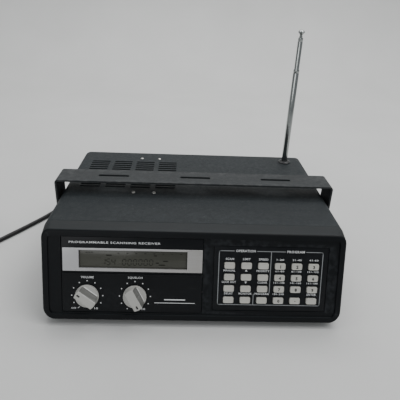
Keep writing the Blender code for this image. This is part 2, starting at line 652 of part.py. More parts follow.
for knob_name, knob_x in KNOB_X.items():
    pointer = (0, math.radians(KNOB_POINTS_TO[knob_name]), 0)
    centre = on_face(knob_x, KNOB_DROP, PANEL_FRONT)
    skirt = bmesh.new()
    add_rod(skirt, KNOB_RADIUS, KNOB_SKIRT, (0, -KNOB_LIFT - KNOB_SKIRT / 2, 0), "Y", 40)
    skirt_front = [e for e in skirt.edges if all(v.co.y < -KNOB_LIFT - KNOB_SKIRT + 1e-6 for v in e.verts)]
    round_edges(skirt, skirt_front, 0.0005, 2)
    knob = add_object(
        f"{knob_name}_knob", to_mesh(skirt, f"{knob_name}_knob"), KNOB_SILVER, centre, pointer, face,
    )
    grip = add_cutter(f"{knob_name}_grip", grip_mesh(f"{knob_name}_grip"), centre, pointer, face)
    grip.location[1] -= KNOB_LIFT
    combine(knob, grip, "UNION")
    marks = bmesh.new()
    add_box(marks, (POINTER_WIDTH, 0.0008, POINTER_LENGTH), (0, -KNOB_LIFT - KNOB_HEIGHT, POINTER_AT))
    add_rod(marks, SHAFT_RADIUS + GAP, 2 * SHAFT_IN_KNOB, (0, 0, 0), "Y")
    knob_cuts = add_cutter(f"{knob_name}_knob_cuts", to_mesh(marks, "knob_cuts"), centre, pointer, face)
    combine(knob, knob_cuts)

    pot_front = PANEL_BACK + GAP
    bush_length = PANEL_THICKNESS + GAP - 0.0004
    pot = bmesh.new()
    add_rod(pot, POT_RADIUS, POT_DEPTH, (0, POT_DEPTH / 2, 0), "Y")
    pot_body = add_object(
        f"{knob_name}_pot", to_mesh(pot, f"{knob_name}_pot"), STEEL,
        on_face(knob_x, KNOB_DROP, pot_front), parent=face,
    )
    bush = rods_mesh("bush", [(BUSH_RADIUS, bush_length + 0.002, (0, 0.001 - bush_length / 2, 0), "Y")])
    combine(pot_body, add_cutter(f"{knob_name}_bush", bush, pot_body.location, parent=face), "UNION")
    shaft_end = pot_front + POT_DEPTH - 0.0015
    shaft_start = PANEL_FRONT - SHAFT_IN_KNOB + GAP
    bore = rods_mesh("bore", [(SHAFT_RADIUS + GAP, 0.040, (0, shaft_end + GAP - 0.020, 0), "Y")])
    bore_place = on_face(knob_x, KNOB_DROP)
    combine(pot_body, add_cutter(f"{knob_name}_pot_bore", bore, bore_place, parent=face))
    shaft = rods_mesh(f"{knob_name}_shaft", [(SHAFT_RADIUS, shaft_end - shaft_start, (0, 0, 0), "Y")])
    shaft_place = on_face(knob_x, KNOB_DROP, (shaft_start + shaft_end) / 2)
    add_object(f"{knob_name}_shaft", shaft, STEEL, shaft_place, pointer, face)

# ---------------------------------------------------------------- mounting bracket
bracket_inner = CASE_WIDTH / 2 + BRACKET_SIDE_GAP
bracket_half = bracket_inner + BRACKET_SHEET
bracket_top = CASE_TOP + BRACKET_TOP
leg_bottom = PIVOT_Z - BRACKET_WIDTH / 2
strip = bmesh.new()
add_box(
    strip, (2 * bracket_half, BRACKET_WIDTH, bracket_top - leg_bottom),
    (0, 0, (bracket_top + leg_bottom) / 2 - PIVOT_Z),
)
bends = [e for e in edges_along(strip, 1) if all(v.co.z > 0 for v in e.verts)]
round_edges(strip, bends, BRACKET_BEND, 3)
removed = [f for f in strip.faces if abs(f.normal.y) > 0.9 or f.normal.z < -0.9]
bmesh.ops.delete(strip, geom=removed, context="FACES")
leg_corners = [v for v in strip.verts if v.co.z < leg_bottom - PIVOT_Z + 1e-6]
bmesh.ops.bevel(
    strip, geom=leg_corners, offset=BRACKET_WIDTH * 0.46, offset_type="OFFSET", affect="VERTICES",
    segments=5, profile=0.5, material=-1,
)
strip_mesh = bpy.data.meshes.new("mounting_bracket")
strip.to_mesh(strip_mesh)
strip.free()
mounting_bracket = add_object("mounting_bracket", strip_mesh, BRACKET_PAINT, (0, PIVOT_Y, PIVOT_Z))
sheet = mounting_bracket.modifiers.new("sheet", "SOLIDIFY")
sheet.thickness = BRACKET_SHEET
sheet.offset = -1
sheet.use_even_offset = True

bracket_slots = bmesh.new()
for slot_x in SLOT_CENTRES:
    add_box(bracket_slots, (*SLOT_SIZE, 4 * BRACKET_SHEET), (slot_x, 0, bracket_top - PIVOT_Z))
round_edges(bracket_slots, edges_along(bracket_slots, 2), SLOT_SIZE[1] * 0.42, 3)
add_rod(bracket_slots, THUMB_SHANK + GAP, 2 * bracket_half + 0.01, (0, 0, 0), "X")
slots_cutter = add_cutter("bracket_slots", to_mesh(bracket_slots, "bracket_slots"), (0, PIVOT_Y, PIVOT_Z))
combine(mounting_bracket, slots_cutter)

for side_name, side, facing in (("left", -1, FACING_LEFT), ("right", 1, FACING_RIGHT)):
    turned(
        f"bracket_screw_{side_name}", BLACK_PLASTIC,
        [
            (0, THUMB_THICKNESS),
            (THUMB_RADIUS * 0.9, THUMB_THICKNESS),
            (THUMB_RADIUS, THUMB_THICKNESS - 0.001),
            (THUMB_RADIUS, 0.002),
            (THUMB_RADIUS * 0.6, 0),
            (THUMB_SHANK, 0),
            (THUMB_SHANK, -THUMB_REACH),
            (0, -THUMB_REACH),
        ],
        place=(side * (bracket_half + GAP), PIVOT_Y, PIVOT_Z), turn=facing,
    )

# ---------------------------------------------------------------- aerial
turned(
    "aerial_bushing", BLACK_PLASTIC,
    [
        (BASE_TUBE_RADIUS + GAP, BUSHING_HEIGHT),
        (BUSHING_RADIUS * 0.75, BUSHING_HEIGHT),
        (BUSHING_RADIUS, BUSHING_HEIGHT * 0.5),
        (BUSHING_RADIUS, GAP),
        (BUSHING_NECK, GAP),
        (BUSHING_NECK, -BUSHING_BELOW),
        (0, -BUSHING_BELOW),
        (0, -BASE_TUBE_BELOW - GAP),
        (BASE_TUBE_RADIUS + GAP, -BASE_TUBE_BELOW - GAP),
    ],
    place=(aerial_x, aerial_y, CASE_TOP), ring=True,
)


def tube_profile(radius, top, bottom, crimp):
    """A thin tube's closed profile: its mouth is drawn in a little over the crimp's length."""
    inner = radius - TUBE_WALL
    drawn = TUBE_WALL / 3
    return [
        (inner, top),
        (radius - drawn, top),
        (radius - drawn, top - crimp),
        (radius, top - 2 * crimp),
        (radius, bottom),
        (inner, bottom),
    ]


base_tube_top = CASE_TOP + BASE_TUBE_LENGTH
turned(
    "aerial_base_tube", CHROME,
    tube_profile(BASE_TUBE_RADIUS, BASE_TUBE_LENGTH, -BASE_TUBE_BELOW, 0.001),
    steps=20, place=(aerial_x, aerial_y, CASE_TOP), ring=True,
)
middle_top = base_tube_top + MIDDLE_TUBE_OUT
turned(
    "aerial_middle_tube", CHROME,
    tube_profile(MIDDLE_TUBE_RADIUS, 0, -MIDDLE_TUBE_LENGTH, 0.0008),
    steps=20, place=(aerial_x, aerial_y, middle_top), ring=True,
)
turned(
    "aerial_tip_rod", CHROME,
    [
        (0, TIP_NECK + TIP_HEIGHT),
        (TIP_RADIUS * 0.6, TIP_NECK + TIP_HEIGHT * 0.92),
        (TIP_RADIUS, TIP_NECK + TIP_HEIGHT * 0.6),
        (TIP_RADIUS, TIP_NECK + TIP_HEIGHT * 0.35),
        (TIP_RADIUS * 0.6, TIP_NECK),
        (ROD_RADIUS, TIP_NECK),
        (ROD_RADIUS, -ROD_LENGTH),
        (0, -ROD_LENGTH),
    ],
    steps=20, place=(aerial_x, aerial_y, middle_top),
)

# ---------------------------------------------------------------- inside the case
speaker_top = CASE_TOP - SHEET - 2 * GAP
turned(
    "speaker", PAPER_GREY,
    [
        (SPEAKER_RADIUS, 0),
        (SPEAKER_RADIUS, -0.002),
        (SPEAKER_RADIUS * 0.9, -0.004),
        (SPEAKER_RADIUS * 0.5, -0.016),
        (SPEAKER_RADIUS * 0.5, -SPEAKER_HEIGHT),
        (0, -SPEAKER_HEIGHT),
        (0, -0.013),
        (0.012, -0.013),
        (SPEAKER_RADIUS * 0.85, -0.0025),
        (SPEAKER_RADIUS * 0.85, 0),
    ],
    place=(SPEAKER_AT[0], FACE_Y + SPEAKER_AT[1], speaker_top), ring=True,
)

pan_floor = CASE_BOTTOM + SHEET + GAP
core_middle = (TRANSFORMER_AT[0], FACE_Y + TRANSFORMER_AT[1], pan_floor + TRANSFORMER_CORE[2] / 2)
transformer = add_object(
    "power_transformer", box_mesh("power_transformer", TRANSFORMER_CORE), STEEL, core_middle,
)
combine(transformer, add_cutter("transformer_coil", box_mesh("coil", TRANSFORMER_COIL, 0.003), core_middle), "UNION")

board_right = CASE_WIDTH / 2 - SHEET - 3 * GAP
board_back = REAR_FACE_Y - REAR_THICKNESS - 0.010
main_board = add_object(
    "main_board", box_mesh("main_board", (*MAIN_BOARD, BOARD_THICKNESS)), BOARD_GREEN,
    (board_right - MAIN_BOARD[0] / 2, board_back - MAIN_BOARD[1] / 2, pan_floor + MAIN_BOARD_LIFT),
)

# ---------------------------------------------------------------- mains lead
relief_z = CASE_BOTTOM + CORD_EXIT[1]
turned(
    "strain_relief", CORD_PLASTIC,
    [
        (0, RELIEF_LENGTH),
        (RELIEF_TIP, RELIEF_LENGTH),
        (RELIEF_RADIUS, 0.004),
        (RELIEF_RADIUS + 0.0008, 0.003),
        (RELIEF_RADIUS + 0.0008, GAP),
        (RELIEF_TIP, GAP),
        (RELIEF_TIP, -REAR_THICKNESS - GAP),
        (RELIEF_RADIUS, -REAR_THICKNESS - GAP),
        (RELIEF_RADIUS, -REAR_THICKNESS - 0.004),
        (0, -REAR_THICKNESS - 0.004),
    ],
    steps=20, place=(CORD_EXIT[0], REAR_FACE_Y, relief_z), turn=FACING_BACK,
)


def smooth_route(points, spacing):
    """Points evenly spaced along one smooth curve through the given ones."""
    points = [Vector(p) for p in points]
    ends = [2 * points[0] - points[1], *points, 2 * points[-1] - points[-2]]
    fine = []
    for a, b, c, d in zip(ends, ends[1:], ends[2:], ends[3:]):
        for step in range(20):
            t = step / 20
            fine.append(
                0.5 * (2 * b + (c - a) * t + (2 * a - 5 * b + 4 * c - d) * t**2 + (3 * b - a - 3 * c + d) * t**3)
            )
    fine.append(points[-1])
    lengths = [(q - p).length for p, q in zip(fine, fine[1:])]
    count = round(sum(lengths) / spacing)
    step_length = sum(lengths) / count
    even, travelled, wanted = [fine[0]], 0.0, step_length
    for p, q, length in zip(fine, fine[1:], lengths):
        while travelled + length >= wanted and len(even) < count:
            even.append(p.lerp(q, (wanted - travelled) / length))
            wanted += step_length
        travelled += length
    return [*even, fine[-1]]


cord = bpy.data.curves.new("power_cord", "CURVE")
cord.dimensions = "3D"
cord.bevel_depth = CORD_RADIUS
cord.bevel_resolution = 2
cord.use_fill_caps = True
line = cord.splines.new("POLY")
route = smooth_route(CORD_ROUTE, 5 * CORD_RADIUS)
line.points.add(len(route) - 1)
for point, where in zip(line.points, route):
    point.co = (*where, 1.0)
add_object("power_cord", cord, CORD_PLASTIC)

coil_width = COIL_TURNS_WIDE * 2 * CORD_RADIUS + 2 * TIE_THICKNESS
coil_height = COIL_TURNS_HIGH * 2 * CORD_RADIUS + 2 * TIE_THICKNESS
coil_outer = COIL_RADIUS + coil_width / 2
coil_inner = COIL_RADIUS - coil_width / 2
turned(
    "cord_coil", CORD_PLASTIC,
    [
        (coil_inner + 0.001, coil_height),
        (coil_outer - 0.001, coil_height),
        (coil_outer, coil_height - 0.001),
        (coil_outer, 0.001),
        (coil_outer - 0.001, 0),
        (coil_inner + 0.001, 0),
        (coil_inner, 0.001),
        (coil_inner, coil_height - 0.001),
    ],
    steps=32, place=(*COIL_CENTRE, 0), ring=True,
)

plug_place = (
    COIL_CENTRE[0] + PLUG_AT[0], COIL_CENTRE[1] + PLUG_AT[1], coil_height + GAP + PLUG_BODY[2] / 2,
)
plug_turn = (0, 0, math.pi / 2)  # its local +X, the way the blades point, runs towards the back
plug = add_object(
    "mains_plug", box_mesh("mains_plug", PLUG_BODY, 0.004, 0), CORD_PLASTIC, plug_place, plug_turn,
)
plug_details = bmesh.new()
for side in (-1, 1):
    blade_x = (PLUG_BODY[0] + PLUG_BLADE[0]) / 2 - 0.001
    blade_size = (PLUG_BLADE[0] + 0.002, PLUG_BLADE[1], PLUG_BLADE[2])
    add_box(plug_details, blade_size, (blade_x, side * BLADE_SPACING / 2, 0))
neck_length, neck_tip, neck_root = PLUG_NECK
add_rod(
    plug_details, neck_tip, neck_length + 0.002, (-(PLUG_BODY[0] + neck_length) / 2 + 0.001, 0, 0), "X",
    end_radius=neck_root,
)
plug_details = add_cutter("plug_details", to_mesh(plug_details, "plug_details"), plug_place, plug_turn)
combine(plug, plug_details, "UNION")

bpy.context.view_layer.update()
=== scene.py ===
"""A desktop scanning receiver: its finished looks around its frame. Metres, +Z up, the front faces -Y."""
import math

import bmesh
import bpy
from mathutils import Matrix, Vector


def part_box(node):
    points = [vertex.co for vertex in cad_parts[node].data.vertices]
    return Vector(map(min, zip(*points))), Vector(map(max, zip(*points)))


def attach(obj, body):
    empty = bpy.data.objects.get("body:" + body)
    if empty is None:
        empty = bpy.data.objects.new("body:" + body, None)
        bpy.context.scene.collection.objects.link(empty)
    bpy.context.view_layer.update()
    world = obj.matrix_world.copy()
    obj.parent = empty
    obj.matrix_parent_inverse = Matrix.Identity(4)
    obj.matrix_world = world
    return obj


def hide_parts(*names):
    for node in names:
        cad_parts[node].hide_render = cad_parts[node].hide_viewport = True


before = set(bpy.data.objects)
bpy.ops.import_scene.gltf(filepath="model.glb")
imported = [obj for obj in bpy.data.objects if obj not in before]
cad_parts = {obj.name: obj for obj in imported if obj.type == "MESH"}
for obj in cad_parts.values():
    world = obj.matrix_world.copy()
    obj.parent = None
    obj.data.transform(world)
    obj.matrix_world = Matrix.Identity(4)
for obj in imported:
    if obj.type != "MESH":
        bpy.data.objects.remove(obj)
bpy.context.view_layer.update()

# ---------------------------------------------------------------- places, from the frame
GAP = 0.0003
FACE_LEAN = math.radians(16.5)
BEZEL_DEPTH = 0.016
BEZEL_TAPER = 0.0022
SHEET = 0.001
EDGE_RADIUS = 0.008
LOWER_RADIUS = 0.0105

bezel_low, bezel_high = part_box("front_bezel")
cover_low, cover_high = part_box("top_cover")
pan_low, pan_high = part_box("base_pan")
CASE_HALF = cover_high.x
CASE_TOP = cover_high.z
CASE_BOTTOM = pan_low.z
CASE_HEIGHT = CASE_TOP - CASE_BOTTOM
BACK_Y = cover_high.y
FACE_Y = bezel_high.y - BEZEL_DEPTH
FACE = Matrix.Translation((0, FACE_Y, CASE_TOP)) @ Matrix.Rotation(-FACE_LEAN, 4, "X")

PANEL_FRONT = 0.0015
CONTROL_PANEL = (-0.1162, 0.0069, 0.0063, 0.0748)  # left, right, upper edge, lower edge on the face
KEYPAD_PANEL = (0.0166, 0.1180, 0.0120, 0.0715)
FRAME = (-0.1150, 0.0064, 0.0160, 0.0369)
WINDOW = (-0.1011, -0.0069, 0.0178, 0.0341)
KNOBS = {"volume": (-0.0942, -54.0), "squelch": (-0.0524, 152.0)}  # across, and degrees clockwise from up
KNOB_DROP = 0.0597
KEY_FIRST = (0.0305, 0.0294)
KEY_PITCH = (0.01493, 0.01066)
KEY_SIZE = (0.0092, 0.0056)


def on_face(across, down, depth=0.0):
    """A place in the leaning face's own space: across, down from its upper edge, and behind it."""
    return Vector((across, depth, -down))


def middle(low, high):
    """The middle of a box."""
    return (low + high) / 2


# turns a shape made upright so that it points backwards
TO_BACK = Matrix.Rotation(-math.pi / 2, 4, "X")


# ---------------------------------------------------------------- camera and light
CAMERA_YAW, CAMERA_DIP, CAMERA_ROLL = -0.0436, 0.4615, 0.0452
camera_data = bpy.data.cameras.new("camera")
camera_data.lens = 39.32
camera_data.sensor_width = 36.0
camera = bpy.data.objects.new("camera", camera_data)
camera.matrix_world = (
    Matrix.Translation((-0.0121, FACE_Y - 0.3250, 0.2782))
    @ Matrix.Rotation(CAMERA_YAW, 4, "Z")
    @ Matrix.Rotation(math.pi / 2 - CAMERA_DIP, 4, "X")
    @ Matrix.Rotation(CAMERA_ROLL, 4, "Z")
)
bpy.context.scene.collection.objects.link(camera)
bpy.context.scene.camera = camera


def area_light(name, place, target, size, power, colour=(1, 1, 1)):
    """A soft rectangular light that faces its target."""
    data = bpy.data.lights.new(name, "AREA")
    data.shape = "RECTANGLE"
    data.size, data.size_y = size
    data.energy = power
    data.color = colour
    light = bpy.data.objects.new(name, data)
    light.location = place
    light.rotation_euler = (Vector(target) - Vector(place)).to_track_quat("-Z", "Y").to_euler()
    bpy.context.scene.collection.objects.link(light)


area_light("key_light", (0.80, -0.35, 1.40), (0, 0, 0.05), (0.9, 0.9), 9)
area_light("back_light", (0.20, 0.75, 1.60), (0, 0, 0.05), (1.6, 0.5), 14)
area_light("front_fill", (-0.6, -1.3, 0.6), (0, 0, 0.06), (0.9, 0.6), 4)
area_light("wall_wash", (0.0, 0.10, 1.50), (0, 1.3, 0.55), (1.8, 0.4), 9)

world = bpy.data.worlds.new("studio")
world.use_nodes = True
world.node_tree.nodes["Background"].inputs["Color"].default_value = (0.80, 0.84, 0.87, 1)
world.node_tree.nodes["Background"].inputs["Strength"].default_value = 0.42
bpy.context.scene.world = world


# ---------------------------------------------------------------- finishes
class Finish:
    """A procedural material in the making. Patterns read the piece's own Object coordinates, in metres."""

    def __init__(self, name, roughness, metallic=0.0, coat=0.0, specular=0.5):
        self.made = bpy.data.materials.new(name)
        self.made.use_nodes = True
        self.tree = self.made.node_tree
        self.shader = self.tree.nodes["Principled BSDF"]
        self.shader.inputs["Roughness"].default_value = roughness
        self.shader.inputs["Metallic"].default_value = metallic
        self.shader.inputs["Coat Weight"].default_value = coat
        self.shader.inputs["Specular IOR Level"].default_value = specular
        self.place = self.tree.nodes.new("ShaderNodeTexCoord").outputs["Object"]
        self.facing = self.tree.nodes.new("ShaderNodeNewGeometry").outputs["Normal"]
        self.heights = []

    def node(self, kind, **inputs):
        made = self.tree.nodes.new(kind)
        for key, value in inputs.items():
            self.feed(made.inputs[key.replace("_", " ")], value)
        return made

    def feed(self, socket, value):
        if isinstance(value, bpy.types.NodeSocket):
            self.tree.links.new(value, socket)
        else:
            socket.default_value = value

    def noise(self, scale, detail=2.0, stretch=(1, 1, 1), rough=0.5):
        """Noise from 0 to 1, so many features a metre; a stretch below 1 draws it out along that axis."""
        place = self.node("ShaderNodeMapping", Vector=self.place, Scale=stretch).outputs[0]
        made = self.node("ShaderNodeTexNoise", Vector=place, Scale=scale, Detail=detail, Roughness=rough)
        return made.outputs["Fac"]

    def level(self, value, low, high, start=0.0, end=1.0):
        """The value's range from low to high, laid over start to end and kept within it."""
        made = self.node("ShaderNodeMapRange", Value=value)
        for socket, number in (("From Min", low), ("From Max", high), ("To Min", start), ("To Max", end)):
            made.inputs[socket].default_value = number
        return made.outputs[0]

    def blend(self, amount, first, second):
        """A colour that goes from the first to the second."""
        made = self.tree.nodes.new("ShaderNodeMix")
        made.data_type = "RGBA"
        self.feed(made.inputs[0], amount)
        for socket, colour in ((made.inputs[6], first), (made.inputs[7], second)):
            self.feed(socket, colour if isinstance(colour, bpy.types.NodeSocket) else (*colour, 1.0))
        return made.outputs[2]

    def times(self, first, second):
        """Two values multiplied."""
        made = self.tree.nodes.new("ShaderNodeMath")
        made.operation = "MULTIPLY"
        self.feed(made.inputs[0], first)
        self.feed(made.inputs[1], second)
        return made.outputs[0]

    def edges(self, low=0.53, high=0.60):
        """1 on the piece's outer edges and 0 on its flats."""
        pointed = self.tree.nodes.new("ShaderNodeNewGeometry").outputs["Pointiness"]
        return self.level(pointed, low, high)

    def bump(self, height, distance, strength=1.0):
        """A relief of that height in metres; reliefs add up."""
        made = self.node("ShaderNodeBump", Height=height, Strength=strength, Distance=distance)
        if self.heights:
            self.tree.links.new(self.heights[-1], made.inputs["Normal"])
        self.heights.append(made.outputs[0])

    def done(self, colour, roughness=None):
        """Joins the pattern to the shader and gives back the material."""
        self.feed(self.shader.inputs["Base Color"], colour)
        if roughness is not None:
            self.feed(self.shader.inputs["Roughness"], roughness)
        if self.heights:
            self.tree.links.new(self.heights[-1], self.shader.inputs["Normal"])
        return self.made


def shade(colour, amount):
    """A colour made lighter or darker."""
    return tuple(min(1.0, c * amount) for c in colour)


def enamel(name, colour, roughness, grain, depth, worn, dust_and_sheen=0.12):
    """Baked paint on sheet steel: an orange-peel grain, faint cloudiness, a film of dust, rubbed edges."""
    f = Finish(name, roughness, specular=0.22)
    peel = f.noise(grain, 2.0)
    cloud = f.noise(14, 3.0)
    wiped = f.noise(55, 4.0, (0.16, 1.0, 1.0))
    specks = f.level(f.noise(1500, 1.0), 0.70, 0.78)
    base = f.blend(f.level(cloud, 0.3, 0.7), shade(colour, 0.90), shade(colour, 1.10))
    base = f.blend(f.level(peel, 0.25, 0.75, 0.0, 0.5), base, shade(colour, 1.28))
    film = f.times(f.level(wiped, 0.42, 0.75), dust_and_sheen)
    base = f.blend(film, base, (0.22, 0.23, 0.23))
    base = f.blend(f.times(specks, 0.30), base, (0.30, 0.30, 0.29))
    rubbed = f.times(f.edges(), f.level(f.noise(160, 4.0), 0.46, 0.62))
    base = f.blend(f.times(rubbed, 0.75), base, worn)
    f.bump(peel, depth)
    return f.done(base, f.level(f.times(wiped, f.noise(300)), 0.1, 0.4, roughness - 0.07, roughness + 0.10))


def moulded(
    name, colour, roughness, grain=2200, depth=0.00003, worn=None, marks=0.10, specular=0.5, dust_and_sheen=None,
):
    """Moulded plastic: a fine spark-eroded grain, slight colour drift, rubbed edges, fine scuffs and, where a
    colour is given, a painted sheen on upward faces.
    """
    f = Finish(name, roughness, specular=specular)
    texture = f.noise(grain, 2.0)
    drift = f.noise(35, 3.0)
    scuffs = f.level(f.noise(420, 5.0, (0.10, 1.0, 0.35)), 0.62, 0.74)
    base = f.blend(f.level(drift, 0.3, 0.7), shade(colour, 0.93), shade(colour, 1.07))
    base = f.blend(f.level(texture, 0.3, 0.7, 0.0, 0.35), base, shade(colour, 1.18))
    base = f.blend(f.times(scuffs, marks), base, (0.35, 0.35, 0.34))
    rubbed = f.times(f.edges(), f.level(f.noise(240, 3.0), 0.40, 0.62))
    base = f.blend(f.times(rubbed, 0.45), base, worn or shade(colour, 1.9))
    # painted sheen: faces turned upwards are painted lighter, for the light falling on them from above
    if dust_and_sheen:
        up = f.level(f.node("ShaderNodeSeparateXYZ", Vector=f.facing).outputs["Z"], 0.80, 0.97)
        base = f.blend(f.times(up, f.level(drift, 0.2, 0.8, 0.75, 1.0)), base, dust_and_sheen)
    f.bump(texture, depth)
    return f.done(base, f.level(drift, 0.25, 0.75, roughness - 0.06, roughness + 0.08))


def bright_metal(name, colour, roughness, run=(1, 1, 0.03), lines=900):
    """Plated or drawn metal: fine lines along its working direction, finger smears and a little tarnish."""
    f = Finish(name, roughness, metallic=1.0)
    drawn = f.noise(lines, 3.0, run)
    smear = f.noise(70, 4.0)
    spots = f.level(f.noise(520, 5.0), 0.66, 0.78)
    base = f.blend(f.level(drawn, 0.3, 0.7), shade(colour, 0.90), shade(colour, 1.04))
    base = f.blend(f.times(spots, 0.45), base, (0.30, 0.27, 0.24))
    f.bump(drawn, 0.000004)
    return f.done(base, f.level(smear, 0.3, 0.75, roughness * 0.8, roughness * 1.7))


CASE_GREY = (0.0122, 0.0158, 0.0180)
COVER_PAINT = enamel("charcoal_paint", CASE_GREY, 0.58, 1500, 0.00005, (0.050, 0.054, 0.056), 0.045)
REAR_PAINT = enamel("rear_paint", CASE_GREY, 0.58, 1500, 0.00005, (0.016, 0.020, 0.022), 0.045)
BRACKET_PAINT = enamel(
    "bracket_paint", (0.0235, 0.0262, 0.0278), 0.54, 1900, 0.00004, (0.20, 0.20, 0.20), 0.04,
)
# the last colour is a painted sheen on the bezel's upward faces, a lighter tone for the light from above
BEZEL_PLASTIC = moulded(
    "black_plastic", (0.0028, 0.0037, 0.0048), 0.46, worn=(0.030, 0.033, 0.037), marks=0.006, specular=0.18,
    dust_and_sheen=(0.0185, 0.0215, 0.023),
)
PANEL_BLACK = moulded(
    "panel_black", (0.0030, 0.0038, 0.0050), 0.38, 3200, 0.00001, (0.02, 0.022, 0.026),
    marks=0.015, specular=0.20,
)
KNOB_PLASTIC = moulded("knob_silver", (0.43, 0.425, 0.400), 0.36, 2600, 0.00002, (0.80, 0.80, 0.78))
# painted shade: the grip's flanks are the knob's own plastic, made much darker for the shade on them
KNOB_FLANK_SHADE = moulded("knob_flank_painted_shade", (0.15, 0.15, 0.142), 0.30, 2600, 0.00002, (0.62, 0.62, 0.60))
# painted highlight: a near-white strip beside each flank, for the light caught at the grip's base
KNOB_HIGHLIGHT = moulded("knob_painted_highlight", (0.82, 0.82, 0.80), 0.28, 2600, 0.00001, marks=0.05)
KEY_PLASTIC = moulded("key_plastic", (0.48, 0.47, 0.43), 0.46, 2400, 0.00002, (0.80, 0.80, 0.76), marks=0.12)
HARD_BLACK = moulded("hard_black", (0.013, 0.013, 0.014), 0.38, marks=0.06)
RUBBER = moulded("black_rubber", (0.014, 0.014, 0.014), 0.80, 1700, 0.00005, marks=0.15)
CHROME = bright_metal("chrome", (0.34, 0.355, 0.35), 0.16)
NICKEL = bright_metal("nickel", (0.66, 0.65, 0.62), 0.24, (1, 1, 1), 700)
STEEL = bright_metal("plated_steel", (0.50, 0.50, 0.49), 0.36, (1, 0.2, 1), 600)


def silver_trim():
    """Silver-painted trim, finely brushed along its length; painted shading makes it lighter at its left end
    and darker and warmer in tone towards its right end, with painted highlights on its edges.
    """
    f = Finish("silver_trim", 0.36, metallic=0.35)
    brushed = f.noise(1300, 3.0, (0.03, 1.0, 1.0))
    drift = f.noise(18, 2.0)
    across = f.node("ShaderNodeSeparateXYZ", Vector=f.place).outputs["X"]
    # painted shading: lighter and cooler at the trim's left end, darker and warmer towards its right end
    base = f.blend(f.level(across, FRAME[0], FRAME[1]), (0.49, 0.49, 0.505), (0.375, 0.360, 0.343))
    base = f.blend(f.level(brushed, 0.3, 0.7, 0.0, 0.35), base, (0.48, 0.48, 0.48))
    base = f.blend(f.level(drift, 0.4, 0.8, 0.0, 0.15), base, (0.22, 0.22, 0.22))
    # painted highlights: the trim's edges are made near white
    base = f.blend(f.times(f.edges(), 0.55), base, (0.80, 0.80, 0.80))
    f.bump(brushed, 0.000006)
    return f.done(base, f.level(brushed, 0.2, 0.8, 0.30, 0.44))


def display_glass():
    """The display behind its clear pane: olive grey, a faint drift of tone, a glossy, wiped front."""
    f = Finish("display_glass", 0.34, coat=0.22, specular=0.3)
    f.shader.inputs["Coat Roughness"].default_value = 0.12
    drift = f.noise(22, 2.0)
    grain = f.noise(2600, 1.0)
    wipes = f.level(f.noise(300, 4.0, (0.05, 1, 1)), 0.60, 0.75)
    base = f.blend(f.level(drift, 0.3, 0.7), (0.042, 0.042, 0.033), (0.052, 0.052, 0.041))
    base = f.blend(f.level(grain, 0.3, 0.7, 0.0, 0.2), base, (0.070, 0.069, 0.056))
    base = f.blend(f.times(wipes, 0.06), base, (0.30, 0.30, 0.28))
    return f.done(base, f.level(drift, 0.3, 0.7, 0.18, 0.28))


def printed(name, colour, roughness=0.5, specular=0.5):
    """Screen-printed ink: slightly uneven cover, and a matt surface."""
    f = Finish(name, roughness, specular=specular)
    cover = f.noise(2600, 3.0)
    wear = f.level(f.noise(380, 4.0), 0.62, 0.78)
    base = f.blend(f.level(cover, 0.3, 0.7), shade(colour, 0.84), shade(colour, 1.06))
    base = f.blend(f.times(wear, 0.35), base, shade(colour, 0.45))
    return f.done(base, f.level(cover, 0.2, 0.8, roughness - 0.05, roughness + 0.1))


def circuit_board():
    """A green solder mask over copper tracks, with rows of soldered pads."""
    f = Finish("circuit_board", 0.35, coat=0.3)
    tracks = f.node("ShaderNodeTexBrick", Vector=f.place, Scale=160.0, Mortar_Size=0.03)
    pads = f.node("ShaderNodeTexVoronoi", Vector=f.place, Scale=240.0).outputs["Distance"]
    base = f.blend(f.level(f.noise(30), 0.3, 0.7), (0.015, 0.085, 0.035), (0.022, 0.115, 0.050))
    base = f.blend(f.times(tracks.outputs["Fac"], 0.6), base, (0.05, 0.19, 0.08))
    base = f.blend(f.level(pads, 0.24, 0.18), base, (0.50, 0.50, 0.47))
    f.bump(tracks.outputs["Fac"], 0.00003)
    return f.done(base)


def lead_plastic():
    """The lead's soft black insulation: a slight sheen, a fine skin and dust in its low places."""
    f = Finish("lead_plastic", 0.42, specular=0.3)
    skin = f.noise(1600, 3.0)
    grime = f.level(f.noise(90, 4.0), 0.50, 0.75)
    base = f.blend(f.level(skin, 0.3, 0.7), (0.006, 0.006, 0.0065), (0.012, 0.012, 0.013))
    base = f.blend(f.times(grime, 0.10), base, (0.12, 0.11, 0.10))
    f.bump(skin, 0.00003)
    return f.done(base, f.level(grime, 0.0, 1.0, 0.36, 0.62))


def speaker_finish():
    """Pressed paper cone and painted frame in dark greys."""
    f = Finish("speaker_grey", 0.8)
    fibre = f.noise(1400, 5.0)
    base = f.blend(f.level(fibre, 0.3, 0.7), (0.022, 0.022, 0.022), (0.060, 0.058, 0.055))
    f.bump(fibre, 0.00008)
    return f.done(base)


def speaker_cloth():
    """Black open-weave cloth."""
    f = Finish("speaker_cloth", 0.9)
    waves = []
    for direction in ("X", "Y"):
        wave = f.tree.nodes.new("ShaderNodeTexWave")
        wave.bands_direction = direction
        wave.inputs["Scale"].default_value = 420
        f.tree.links.new(f.place, wave.inputs["Vector"])
        waves.append(wave.outputs["Fac"])
    weave = f.times(*waves)
    base = f.blend(weave, (0.012, 0.012, 0.012), (0.045, 0.045, 0.046))
    f.bump(weave, 0.0001)
    return f.done(base)


